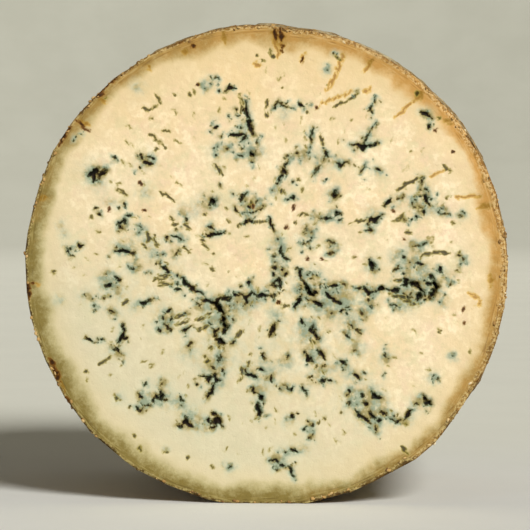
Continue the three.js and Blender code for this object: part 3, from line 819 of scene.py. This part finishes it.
# where each surface lies on the texture map, as left, bottom, width and height
mapLayout = {
    "face": (0.005, 0.005, 0.70, 0.70),
    "end": (0.72, 0.005, 0.27, 0.27),
    "upperSide": (0.005, 0.72, 0.70, 0.27),
    "lowerSide": (0.72, 0.29, 0.27, 0.70),
}
mapMargin = 1.5     # mm beyond the drum that the map's two discs reach
endDepth = 3        # mm from the natural end within which the rind is on the end's disc


def addMap(mesh, places, triangles, faceCount):
    corner = places[triangles]
    across, back, up = corner[..., 0], corner[..., 1] - frontY, corner[..., 2] - axisHeight
    disc = np.stack([across, up], -1) / (2 * (drumRadius + mapMargin)) + 0.5
    middle = corner.mean(1)
    middleTurn = np.arctan2(middle[:, 2] - axisHeight, middle[:, 0])[:, None]
    turn = np.arctan2(up, across)
    turn = middleTurn + (turn - middleTurn + np.pi) % (2 * np.pi) - np.pi
    sideways = np.where(middleTurn < 0, turn + np.pi, turn) / np.pi
    reach = np.hypot(across, up + drum["endTaper"] * (back / drumLength) ** 2)
    inward = np.clip(drumRadius - reach, 0, drum["shoulder"])
    profile = np.clip(back, 0, None) + inward * (back > drumLength / 2)
    lengthwise = profile / (drumLength + drum["shoulder"])
    region = np.full(len(triangles), 1)
    region[:faceCount] = 0
    middleReach = np.hypot(middle[:, 0], middle[:, 2] - axisHeight)
    region[(middle[:, 1] > backY - endDepth) & (middleReach < drumRadius - drum["shoulder"])] = 2
    region[(region == 1) & (middleTurn[:, 0] < 0)] = 3
    spots = np.zeros(corner.shape[:2] + (2,))
    for number, name, unit in (
        (0, "face", disc),
        (2, "end", disc),
        (1, "upperSide", np.stack([sideways, lengthwise], -1)),
        (3, "lowerSide", np.stack([lengthwise, sideways], -1)),
    ):
        left, bottom, width, height = mapLayout[name]
        chosen = region == number
        spots[chosen] = np.array([left, bottom]) + unit[chosen] * np.array([width, height])
    layer = mesh.uv_layers.new(name="OFBake", do_init=False)
    layer.uv.foreach_set("vector", spots.reshape(-1, 2).clip(0, 1).astype(np.float32).ravel())


# how the rim changes round the cut face, by direction in degrees from the right over the top
rimZone = {
    "turn": range(0, 360, 30),
    # how far in the coloured zone under the rind begins to fade and ends, mm, and how strong it is
    "begin": (4.8, 2.2, 3.6, 2.8, 1.7, 2.0, 1.2, 1.8, 1.2, 2.2, 1.4, 2.2),
    "end": (9.8, 7.0, 8.8, 9.6, 7.4, 8.8, 10.4, 12.0, 10.2, 10.2, 8.0, 8.2),
    "strength": (0.95, 1, 1, 1, 1, 1, 1, 1, 0.95, 1, 0.92, 0.95),
    # how wide the granular skin is, mm
    "grain": (2.6, 2.4, 1.7, 1.2, 1.0, 0.9, 0.9, 0.8, 0.8, 0.7, 1.4, 2.2),
}


def rimAt(degrees, what):
    return np.interp(degrees, rimZone["turn"], rimZone[what], period=360)


def makeCheese():
    places, triangles, facePlaceCount, faceCount, painted = wholeCheese()
    mesh = smoothMesh("half_cheese", (places * mm).tolist(), triangles.tolist())
    mesh.polygons.foreach_set("material_index", (np.arange(len(triangles)) >= faceCount).astype(np.int32))
    degrees = np.degrees(painted["angle"])
    begin, end, strength, grain = (rimAt(degrees, what) for what in ("begin", "end", "strength", "grain"))
    flatPlace = places[:facePlaceCount] * np.array([1, 0, 1])
    zoneNoises = ("zoneSwells", "zoneWaves", "zoneFades")
    swells, waves, fades = (layeredNoise(flatPlace, rind[name], noiseSeeds[name]) for name in zoneNoises)
    off = painted["rim"] * (1 + swells) + waves
    fade = ((end - off) / (end - begin)).clip(0, 1)
    masks = {name: painted[name] for name in paintedNames}
    masks.update(rimSkin=painted["rim"], rimZone=strength * (1 + fades) * fade, rimGrain=grain)
    for name, values in masks.items():
        addAttribute(mesh, name, np.append(values, np.zeros(len(places) - facePlaceCount)))
    addMap(mesh, places, triangles, faceCount)
    mesh.update()
    print("half cheese:", len(places), "points,", len(triangles), "triangles")
    return putInScene("half_cheese", mesh)


# crumbs and flakes of rind along the rim
crumbs = {
    "seed": 5,
    "tries": 760,           # fewer crumbs are kept, as the next two say
    "thinShare": 0.8,       # share of the tries that is kept where the granular skin is thin
    "fullGrain": 2.6,       # mm of granular skin at which all are kept
    "size": (0.3, 1.05),    # mm, half of the longest side
    "smallness": 2.2,       # the higher, the fewer large crumbs
    "back": (-0.1, 5.0),    # mm behind the cut face
    "frontness": 1.6,       # the higher, the nearer they lie to the cut face
    "rough": (0.8, 0.35),   # size and height of their lumps, as shares of their own size
    "noiseStep": 7.3,       # moves each crumb to its own part of the noise
    "squash": [(0.45, 0.8), (0.6, 1.0)],
    "tilt": 0.6,            # radians either way
    "sunk": (-0.3, 0.75),   # share of its size that a crumb is sunk in the rind
    "faceDepth": 0.4,       # mm behind the cut face up to which a crumb may also lie on the granular skin
    "palest": (0.55, 4),    # highest tone without granular skin, and the mm of skin that add 1 to it
}


def makePebble():
    bpy.ops.mesh.primitive_ico_sphere_add(subdivisions=2, radius=1)
    pebble = bpy.context.object
    shape = np.array([v.co[:] for v in pebble.data.vertices])
    shapeFaces = np.array([p.vertices[:] for p in pebble.data.polygons])
    bpy.data.objects.remove(pebble)
    return shape, shapeFaces


def makeCrumbs():
    pick = random.Random(crumbs["seed"])
    shape, shapeFaces = makePebble()
    noiseSize, noiseHeight = crumbs["rough"]
    smallest, largest = crumbs["size"]
    nearest, furthest = crumbs["back"]
    palest, grainForMore = crumbs["palest"]
    places, triangles, tones = [], [], []
    for number in range(crumbs["tries"]):
        angle = pick.uniform(0, 2 * math.pi)
        reach = rimReach[int(angle / (2 * math.pi) * rimCount) % rimCount]
        grain = rimAt(math.degrees(angle), "grain")
        if pick.random() > max(crumbs["thinShare"], grain / crumbs["fullGrain"]):
            continue
        size = smallest + (largest - smallest) * pick.random() ** crumbs["smallness"]
        back = furthest * pick.random() ** crumbs["frontness"] + nearest
        lumps = latticeNoise(shape + number * crumbs["noiseStep"], noiseSize, noiseSeeds["crumbs"])
        squash = np.array([pick.uniform(*span) for span in crumbs["squash"]] + [1.0]) * size
        local = shape * (1 + noiseHeight * lumps)[:, None] * squash
        tilt = pick.uniform(-crumbs["tilt"], crumbs["tilt"])
        turned = local.copy()
        turned[:, 0] = local[:, 0] * math.cos(tilt) - local[:, 2] * math.sin(tilt)
        turned[:, 2] = local[:, 0] * math.sin(tilt) + local[:, 2] * math.cos(tilt)
        out = np.array([math.cos(angle), 0, math.sin(angle)])
        across = np.array([-math.sin(angle), 0, math.cos(angle)])
        placed = turned[:, :1] * out + turned[:, 1:2] * np.array([0, 1, 0]) + turned[:, 2:] * across
        sunk = pick.uniform(*crumbs["sunk"]) * size
        if back < crumbs["faceDepth"]:
            sunk += pick.random() * grain
        placed = placed + (out * (reach - sunk) + np.array([0, frontY + back, axisHeight]))
        if placed[:, 2].min() < 0:
            continue
        triangles.append(shapeFaces + len(shape) * len(places))
        places.append(placed)
        tones.append(np.full(len(shape), pick.random() * min(1.0, palest + grain / grainForMore)))
    allPlaces = np.concatenate(places) * mm
    mesh = smoothMesh("rim_crumbs", allPlaces.tolist(), np.concatenate(triangles).tolist())
    addAttribute(mesh, "crumbTone", np.concatenate(tones))
    print("rim crumbs:", len(places))
    return putInScene("rim_crumbs", mesh)


halfCheese = makeCheese()
rimCrumbs = makeCrumbs()

# shader helpers: the ones given a tree add nodes to it and give back an output


def paint(text):
    # a hex colour as the linear colour that shaders use
    parts = [int(text[i:i + 2], 16) / 255 for i in (1, 3, 5)]
    return tuple(p / 12.92 if p <= 0.04045 else ((p + 0.055) / 1.055) ** 2.4 for p in parts) + (1.0,)


def paints(look):
    return {name: paint(colour) for name, colour in look.items()}


def feed(tree, socket, value):
    if isinstance(value, bpy.types.NodeSocket):
        tree.links.new(value, socket)
    else:
        socket.default_value = value


def maths(tree, operation, a, b=0.0, c=0.0, clamp=False):
    node = tree.nodes.new("ShaderNodeMath")
    node.operation, node.use_clamp = operation, clamp
    for socket, value in zip(node.inputs, (a, b, c)):
        feed(tree, socket, value)
    return node.outputs[0]


def plus(tree, a, b):
    return maths(tree, "ADD", a, b)


def minus(tree, a, b):
    return maths(tree, "SUBTRACT", a, b)


def times(tree, a, b, clamp=False):
    return maths(tree, "MULTIPLY", a, b, clamp=clamp)


def weighed(tree, first, second):
    # the sum of two values, each given with its weight
    return plus(tree, times(tree, *first), times(tree, *second))


def splitPlace(tree, place):
    node = tree.nodes.new("ShaderNodeSeparateXYZ")
    feed(tree, node.inputs[0], place)
    return node.outputs


def mixPaint(tree, mask, below, above):
    node = tree.nodes.new("ShaderNodeMix")
    node.data_type = "RGBA"
    feed(tree, node.inputs[0], mask)
    feed(tree, node.inputs[6], below)
    feed(tree, node.inputs[7], above)
    return node.outputs[2]


def noiseOf(tree, place, size, detail=2.0, roughness=0.55):
    # size is in mm
    node = tree.nodes.new("ShaderNodeTexNoise")
    feed(tree, node.inputs["Vector"], place)
    scale = 1 / size if isinstance(size, (int, float)) else maths(tree, "DIVIDE", 1.0, size)
    feed(tree, node.inputs["Scale"], scale)
    node.inputs["Detail"].default_value = detail
    node.inputs["Roughness"].default_value = roughness
    return node.outputs[0]


def swing(tree, place, size, detail, height=1.0):
    # noise that goes up and down from 0
    return times(tree, minus(tree, noiseOf(tree, place, size, detail), 0.5), height)


def stretch(tree, value, low, high, toLow=0.0, toHigh=1.0):
    node = tree.nodes.new("ShaderNodeMapRange")
    node.interpolation_type = "SMOOTHSTEP"
    settings = {"Value": value, "From Min": low, "From Max": high, "To Min": toLow, "To Max": toHigh}
    for name, setting in settings.items():
        feed(tree, node.inputs[name], setting)
    return node.outputs[0]


def fadeIn(tree, below, above, value, low, high, most=1.0):
    # the colour above comes in over the one below as the value goes from low to high
    return mixPaint(tree, stretch(tree, value, low, high, 0.0, most), below, above)


def addPatches(tree, place, colour, look, patches):
    for size, detail, low, high, most, name in patches:
        colour = fadeIn(tree, colour, look[name], noiseOf(tree, place, size, detail), low, high, most)
    return colour


def rampOf(tree, value, stops):
    node = tree.nodes.new("ShaderNodeValToRGB")
    feed(tree, node.inputs[0], value)
    ramp = node.color_ramp
    while len(ramp.elements) < len(stops):
        ramp.elements.new(0.5)
    for element, (at, colour) in zip(ramp.elements, stops):
        element.position = at
        element.color = paint(colour)
    return node.outputs[0]


def attribute(tree, name):
    node = tree.nodes.new("ShaderNodeAttribute")
    node.attribute_name = name
    return node.outputs["Fac"]


def newGroup(name, settings, outputs):
    # a node group with a Vector input, a number input for each setting, and number outputs
    group = bpy.data.node_groups.new(name, "ShaderNodeTree")
    group.interface.new_socket("Vector", in_out="INPUT", socket_type="NodeSocketVector")
    for label, value in settings.items():
        socket = group.interface.new_socket(label, in_out="INPUT", socket_type="NodeSocketFloat")
        socket.default_value = value
    for label in outputs:
        group.interface.new_socket(label, in_out="OUTPUT", socket_type="NodeSocketFloat")
    return group, group.nodes.new("NodeGroupInput").outputs, group.nodes.new("NodeGroupOutput").inputs


def useGroup(tree, group, **values):
    node = tree.nodes.new("ShaderNodeGroup")
    node.node_tree = group
    for label, value in values.items():
        feed(tree, node.inputs[label], value)
    return node


def makeSpeckleGroup():
    # scattered specks: a mask that is 1 inside them
    group, given, out = newGroup("Speckle", {"Size": 1.0, "Level": 0.6}, ["Mask"])
    rough = noiseOf(group, given["Vector"], given["Size"], 3.0, 0.6)
    high = plus(group, given["Level"], 0.06)
    feed(group, out["Mask"], stretch(group, rough, given["Level"], high))
    return group


def makeCrumbGroup():
    # the crumbly grain of curd and crust: a height and a mask of its pits
    group, given, out = newGroup("Crumbly Grain", {"Size": 1.0, "Pits": 0.3}, ["Height", "Pit"])
    grain = noiseOf(group, given["Vector"], given["Size"], 4.0, 0.65)
    wide = noiseOf(group, given["Vector"], times(group, given["Size"], 3.7), 2.0, 0.5)
    pit = stretch(group, wide, 0.36, 0.30)
    feed(group, out["Height"], minus(group, plus(group, grain, wide), times(group, pit, given["Pits"])))
    feed(group, out["Pit"], pit)
    return group


def makeMouldGroup():
    # the uneven grain of mould: fine specks mixed with streaks that point to the middle of the cut face
    settings = {"Size": 1.0, "Around": 30.0, "Along": 2.4}
    group, given, out = newGroup("Mould Grain", settings, ["Grain", "Streaks"])
    fine = noiseOf(group, given["Vector"], given["Size"], 3.0, 0.6)
    split = splitPlace(group, given["Vector"])
    across, up = split["X"], minus(group, split["Z"], axisHeight)
    square = plus(group, times(group, across, across), times(group, up, up))
    reach = maths(group, "SQRT", plus(group, square, 4.0))
    swirl = group.nodes.new("ShaderNodeCombineXYZ")
    for socket, side in zip(swirl.inputs, (across, up)):
        feed(group, socket, times(group, maths(group, "DIVIDE", side, reach), given["Around"]))
    feed(group, swirl.inputs[2], maths(group, "DIVIDE", reach, given["Along"]))
    streaks = noiseOf(group, swirl.outputs[0], 1.0, 2.0, 0.5)
    feed(group, out["Grain"], minus(group, weighed(group, (fine, 0.6), (streaks, 0.4)), 0.5))
    feed(group, out["Streaks"], streaks)
    return group


speckle = makeSpeckleGroup()
crumbly = makeCrumbGroup()
mouldGrain = makeMouldGroup()


def newMaterial(name, roughness):
    material = bpy.data.materials.new(name)
    material.use_nodes = True
    tree = material.node_tree
    shader = tree.nodes["Principled BSDF"]
    shader.inputs["Roughness"].default_value = roughness
    place = tree.nodes.new("ShaderNodeVectorMath")
    place.operation = "SCALE"
    place.inputs["Scale"].default_value = 1 / mm
    tree.links.new(tree.nodes.new("ShaderNodeTexCoord").outputs["Object"], place.inputs[0])
    return material, tree, shader, place.outputs[0]


def bumpFrom(tree, shader, height, distance):
    bump = tree.nodes.new("ShaderNodeBump")
    bump.inputs["Distance"].default_value = distance * mm
    feed(tree, bump.inputs["Height"], height)
    tree.links.new(bump.outputs["Normal"], shader.inputs["Normal"])


# the cut face's colours and its patches; a patch has its size in mm, detail, the two noise levels between
# which it comes in, the most that it covers, and its colour
# low is painted shade, for the cooler and darker paste of the lower left
pasteLook = {
    "cream": "#EAD7B1", "warm": "#EAD2A7", "pink": "#EBCFB1", "green": "#DAD3A7", "low": "#CDC8AA",
    "top": "#EACD98", "bright": "#FDEBC7", "dull": "#D6C79D", "curd": "#C2C5AC",
}
pastePatches = [
    (30, 2, 0.35, 0.65, 1.0, "warm"),
    (9, 3, 0.48, 0.68, 0.6, "pink"),
    (6, 3, 0.5, 0.7, 0.5, "green"),
]
amberAtRim = "#8C6A20"
# mould in its grey-green and in its olive parts: its haze by strength, and the marks in it
mouldLook = {
    "green": {"haze": [(0.1, "#CBCFB6"), (0.5, "#AEB79F"), (0.9, "#95A088")],
              "pale": "#8B967C", "deep": "#464B30", "black": "#0C0A03"},
    "olive": {"haze": [(0.1, "#D2C99E"), (0.5, "#B8AC7E"), (0.9, "#9E9365")],
              "pale": "#978C58", "deep": "#544722", "black": "#1A1006"},
}
marksFrom = {"pale": (0.08, 0.27), "deep": (0.27, 0.44), "black": (0.44, 0.64)}
# streaks without mould: colours from their soft edge to their core, how much they cover, and how much is
# left of them where they are thinnest
streakLook = {
    "olive": ([(0.05, "#C4B673"), (0.4, "#91853A"), (0.72, "#534A16"), (1.0, "#2A260C")], 0.9, 0.5),
    "amber": ([(0.1, "#E4C884"), (0.5, "#D6AE58"), (0.95, "#A4752A")], 0.85, 0.4),
    "brown": ([(0.05, "#AE833E"), (0.35, "#7A5018"), (0.65, "#543008"), (0.95, "#2A1204")], 0.95, 0.5),
}
# each layer of the rim has a dull colour and a warm one; the dull one is partly the rim's own olive colour
# and partly painted shade on the lower left, turned from the light. The table below says where the rim is
# warmest and where it has turned dull again, in degrees from the right over the top
rimWarmthAndShade = {"warmest": 30, "dull": -80}
zoneLook = {
    "inner": {"dull": "#D6C49A", "warm": "#E8CC98"},
    "fringe": {"dull": "#CCC28E", "warm": "#E4C288"},
    "zone": {"dull": "#80703A", "warm": "#CC9A54"},
    "skin": {"dull": "#766230", "warm": "#B88A48"},
    "skinPale": {"dull": "#B0A068", "warm": "#DEBC84"},
    "skinDark": {"dull": "#443016", "warm": "#88602C"},
}


def roundRim(tree, across, up):
    # 0 at the left, 0.5 at the right and 1 at the left again
    turn = maths(tree, "ARCTAN2", up, across)
    return minus(tree, 0.5, maths(tree, "DIVIDE", turn, 2 * math.pi))


# the rim's colours by side: the dull colour on the lower left carries painted shade as well as the rim's own
# olive
def byRimSideWithShade(tree, tone, colours):
    warmest, dullAndShadedAgain = ((180 - rimWarmthAndShade[way]) / 360 for way in ("warmest", "dull"))
    dull, warm = colours["dull"], colours["warm"]
    return rampOf(tree, tone, [(0.0, dull), (warmest, warm), (dullAndShadedAgain, dull), (1.0, dull)])


def addStreak(tree, colour, name, fleck, nearRim=None):
    # a streak's colour over the one below it, and another colour where it crosses the rim's coloured zone
    stops, most, thin = streakLook[name]
    ragged = times(tree, attribute(tree, name), stretch(tree, fleck, 0.3, 0.62, thin, 1.35))
    streak = rampOf(tree, ragged, stops)
    if nearRim:
        streak = mixPaint(tree, times(tree, attribute(tree, "rimZone"), 0.9), streak, paint(nearRim))
    return fadeIn(tree, colour, streak, ragged, 0.05, 0.55, most)


def plainPaste(tree, place, across, height, look):
    # cream in patches and small lumps, with painted shade that makes it duller to the lower left, and warmer
    # at the top
    colour = addPatches(tree, place, look["cream"], look, pastePatches)
    lumpy = weighed(tree, (noiseOf(tree, place, 2.4, 3, 0.6), 0.5), (noiseOf(tree, place, 8.5, 2), 0.4))
    lumpy = minus(tree, lumpy, 0.45)
    colour = fadeIn(tree, colour, look["bright"], lumpy, -0.02, 0.13, 0.85)
    colour = fadeIn(tree, colour, look["dull"], lumpy, -0.02, -0.16, 0.7)
    # painted shade: the paste turns cooler and darker towards the lower left, where less light falls
    shadeTowardsLowerLeft = weighed(tree, (across, 0.5), (height, 0.85))
    colour = fadeIn(tree, colour, look["low"], shadeTowardsLowerLeft, 92.0, 10.0, 0.8)
    return fadeIn(tree, colour, look["top"], height, 140.0, 195.0, 0.6)


def addZone(tree, place, colour, rim, grain, skinPlace):
    # the coloured zone under the rind
    fray = plus(tree, times(tree, grain, 0.9), swing(tree, place, 2.4, 4))
    uneven = times(tree, attribute(tree, "rimZone"), plus(tree, fray, 1.0))
    colour = fadeIn(tree, colour, rim["inner"], skinPlace, 20.0, 8.0, 0.52)
    colour = fadeIn(tree, colour, rim["fringe"], uneven, -0.05, 0.72)
    return fadeIn(tree, colour, rim["zone"], uneven, 0.0, 1.0)


def addMould(tree, place, colour, look, grain, fleck):
    # amber streaks and curd, the haze over them, olive streaks, and the dark marks on top
    dark = attribute(tree, "dark")
    softly = times(tree, attribute(tree, "haze"), plus(tree, swing(tree, place, 2.2, 3, 2.0), 1.0))
    marks = weighed(tree, (dark, 0.85), (grain, 1.6))
    marks = times(tree, marks, stretch(tree, dark, 0.02, 0.25))
    colour = addStreak(tree, colour, "amber", fleck, amberAtRim)
    colour = mixPaint(tree, attribute(tree, "curd"), colour, look["curd"])
    oliveSide = stretch(tree, noiseOf(tree, place, 4.5, 3), 0.42, 0.6)
    green, olive = mouldLook["green"], mouldLook["olive"]
    fog = mixPaint(tree, oliveSide, rampOf(tree, softly, green["haze"]), rampOf(tree, softly, olive["haze"]))
    colour = mixPaint(tree, times(tree, softly, 1.25, clamp=True), colour, fog)
    colour = addStreak(tree, colour, "olive", fleck)
    for stage, (low, high) in marksFrom.items():
        tint = mixPaint(tree, oliveSide, paint(green[stage]), paint(olive[stage]))
        colour = fadeIn(tree, colour, tint, marks, low, high)
    return colour


def addSkin(tree, place, colour, rim, skinPlace):
    # the granular skin along the rim, the fibres inside it, and the dark broken edge
    skinWide = attribute(tree, "rimGrain")
    wavy = plus(tree, skinPlace, swing(tree, place, 1.6, 3, 1.8))
    specks = useGroup(tree, speckle, Vector=place, Size=1.0, Level=0.46).outputs[0]
    pits = useGroup(tree, speckle, Vector=place, Size=1.3, Level=0.54).outputs[0]
    skin = mixPaint(tree, specks, rim["skin"], rim["skinPale"])
    skin = mixPaint(tree, times(tree, pits, 0.8), skin, rim["skinDark"])
    colour = fadeIn(tree, colour, skin, maths(tree, "DIVIDE", wavy, skinWide), 1.25, 0.6, 0.9)
    fibres = useGroup(tree, mouldGrain, Vector=place, Around=13.0, Along=0.7).outputs["Streaks"]
    outer = stretch(tree, minus(tree, skinPlace, skinWide), 3.0, 0.5)
    lightFibres = times(tree, outer, stretch(tree, fibres, 0.54, 0.66, 0, 0.5))
    colour = mixPaint(tree, lightFibres, colour, rim["skinPale"])
    darkFibres = times(tree, outer, stretch(tree, fibres, 0.44, 0.34, 0, 0.45))
    colour = mixPaint(tree, darkFibres, colour, rim["skinDark"])
    broken = stretch(tree, noiseOf(tree, place, 7, 3), 0.42, 0.6)
    edge = times(tree, stretch(tree, wavy, 0.7, 0.2, 0, 0.9), broken)
    return mixPaint(tree, edge, colour, rim["skinDark"])


def pasteMaterial():
    material, tree, shader, place = newMaterial("cut_paste", 0.6)
    look = paints(pasteLook)
    split = splitPlace(tree, place)
    across, height = split["X"], split["Z"]
    tone = roundRim(tree, across, minus(tree, height, axisHeight))
    tone = plus(tree, tone, swing(tree, place, 9, 3, 0.22))
    # rim colours by side, with painted shade in the dull lower left
    rim = {name: byRimSideWithShade(tree, tone, colours) for name, colours in zoneLook.items()}
    skinPlace = attribute(tree, "rimSkin")
    grain = useGroup(tree, mouldGrain, Vector=place, Size=0.85).outputs["Grain"]
    fleck = useGroup(tree, mouldGrain, Vector=place, Around=60.0, Along=2.0).outputs["Streaks"]
    colour = plainPaste(tree, place, across, height, look)
    colour = addZone(tree, place, colour, rim, grain, skinPlace)
    colour = addMould(tree, place, colour, look, grain, fleck)
    colour = addSkin(tree, place, colour, rim, skinPlace)
    colour = addStreak(tree, colour, "brown", fleck)
    tree.links.new(colour, shader.inputs["Base Color"])
    crumb = useGroup(tree, crumbly, Vector=place, Size=0.8, Pits=0.35)
    bumpFrom(tree, shader, crumb.outputs["Height"], 0.12)
    shader.inputs["Specular IOR Level"].default_value = 0.12
    return material


rindLook = {
    "brown": "#A47F48", "grey": "#B39E72", "ochre": "#BC8C44", "bloom": "#DACBA2", "hollow": "#80623A",
    "dark": "#523A1E",
}
rindPatches = [(26, 4, 0.38, 0.62, 1.0, "grey"), (9, 5, 0.48, 0.66, 0.6, "ochre")]


def creasesOf(tree, place, size):
    # 0 in thin wandering creases, 1 between them
    rough = noiseOf(tree, place, size, 4, 0.6)
    return stretch(tree, maths(tree, "ABSOLUTE", minus(tree, rough, 0.5)), 0.0, 0.07)


def rindMaterial():
    material, tree, shader, place = newMaterial("dry_rind", 0.88)
    look = paints(rindLook)
    colour = addPatches(tree, place, look["brown"], look, rindPatches)
    creases = weighed(tree, (creasesOf(tree, place, 17), 0.6), (creasesOf(tree, place, 5.5), 0.4))
    colour = fadeIn(tree, colour, look["hollow"], creases, 0.85, 0.3, 0.75)
    powder = plus(tree, noiseOf(tree, place, 7, 7, 0.72), times(tree, noiseOf(tree, place, 38, 2), 0.5))
    colour = fadeIn(tree, colour, look["bloom"], powder, 0.76, 0.92, 0.8)
    crumb = useGroup(tree, crumbly, Vector=place, Size=0.9, Pits=0.8)
    colour = mixPaint(tree, times(tree, crumb.outputs["Pit"], 0.8), colour, look["dark"])
    specks = useGroup(tree, speckle, Vector=place, Size=0.8, Level=0.66).outputs[0]
    colour = mixPaint(tree, specks, colour, look["hollow"])
    tree.links.new(colour, shader.inputs["Base Color"])
    bumpFrom(tree, shader, plus(tree, crumb.outputs["Height"], times(tree, creases, 2.2)), 0.55)
    shader.inputs["Specular IOR Level"].default_value = 0.2
    return material


crumbTones = [(0.0, "#6E4E28"), (0.3, "#9A743C"), (0.65, "#BC975A"), (0.85, "#DABF88"), (1.0, "#ECDDBC")]


def crumbMaterial():
    material, tree, shader, place = newMaterial("rind_crumbs", 0.85)
    mixed = plus(tree, attribute(tree, "crumbTone"), swing(tree, place, 0.7, 3, 0.5))
    tree.links.new(rampOf(tree, mixed, crumbTones), shader.inputs["Base Color"])
    crumb = useGroup(tree, crumbly, Vector=place, Size=0.5, Pits=0.3)
    bumpFrom(tree, shader, crumb.outputs["Height"], 0.15)
    return material


for piece, made in ((halfCheese, [pasteMaterial(), rindMaterial()]), (rimCrumbs, [crumbMaterial()])):
    for material in made:
        piece.data.materials.append(material)
    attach(piece, "root")
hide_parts(drum["node"])
print("materials on")

# a plain floor that curves up into a low wall all round, and soft light from the right
studio = {
    "floorFront": "#DBDCD8", "floorBack": "#DEDED2", "wall": "#A6A69A", "mottle": "#C9CABF",
    # mm back between which one colour turns to the next
    "floorTurns": (-60.0, 260.0), "wallTurns": (1500.0, 2500.0),
    "floorReach": 2.0, "bend": 0.7, "wallTop": 0.75,    # m
    "keyTurn": 60.0, "keyRise": 36.0,    # degrees from the right towards the viewer, and above the floor
    "keySpread": 18.0, "keyPower": 3.42, "keyTint": (1.0, 0.985, 0.95),
    "air": (0.165, 0.152, 0.128),
}


def makeStage():
    turns, bendSteps = 96, 24
    profile = [(studio["floorReach"] * i / 6, 0.0) for i in range(1, 7)]
    for i in range(1, bendSteps + 1):
        turn = math.pi / 2 * i / bendSteps
        profile.append((
            studio["floorReach"] + studio["bend"] * math.sin(turn),
            studio["bend"] * (1 - math.cos(turn)),
        ))
    profile.append((studio["floorReach"] + studio["bend"], studio["wallTop"]))
    places, faces = [(0, 0, 0)], []
    for reach, height in profile:
        places += [(reach * math.cos(angle), reach * math.sin(angle), height) for angle in around(turns)]
    for i in range(turns):
        faces.append((0, 1 + i, 1 + (i + 1) % turns))
    for ring in range(len(profile) - 1):
        inner, outer = 1 + ring * turns, 1 + (ring + 1) * turns
        for i in range(turns):
            after = (i + 1) % turns
            faces.append((inner + i, outer + i, outer + after, inner + after))
    mesh = smoothMesh("studio_floor", places, faces)
    material, tree, shader, place = newMaterial("pale_floor", 0.9)
    further = splitPlace(tree, place)["Y"]
    look = {name: paint(studio[name]) for name in ("floorFront", "floorBack", "wall", "mottle")}
    base = fadeIn(tree, look["floorFront"], look["floorBack"], further, *studio["floorTurns"])
    base = fadeIn(tree, base, look["wall"], further, *studio["wallTurns"])
    mottled = stretch(tree, noiseOf(tree, place, 60, 3), 0.3, 0.7, 0.0, 0.12)
    tree.links.new(mixPaint(tree, mottled, base, look["mottle"]), shader.inputs["Base Color"])
    bumpFrom(tree, shader, noiseOf(tree, place, 1.2, 2), 0.06)
    mesh.materials.append(material)
    floor = putInScene("studio_floor", mesh)


def makeLight():
    data = bpy.data.lights.new("key", "SUN")
    data.angle = math.radians(studio["keySpread"])
    data.energy = studio["keyPower"]
    data.color = studio["keyTint"]
    key = putInScene("key", data)
    turn, rise = math.radians(studio["keyTurn"]), math.radians(studio["keyRise"])
    away = Vector((math.cos(turn) * math.cos(rise), -math.sin(turn) * math.cos(rise), math.sin(rise)))
    key.location = away
    key.rotation_euler = (-away).to_track_quat("-Z", "Y").to_euler()
    world = bpy.data.worlds.new("air")
    world.use_nodes = True
    background = world.node_tree.nodes["Background"]
    background.inputs["Color"].default_value = studio["air"] + (1.0,)
    background.inputs["Strength"].default_value = 1.0
    bpy.context.scene.world = world


makeStage()
makeLight()
bpy.context.scene.view_settings.view_transform = "Standard"
print("stage and light ready")
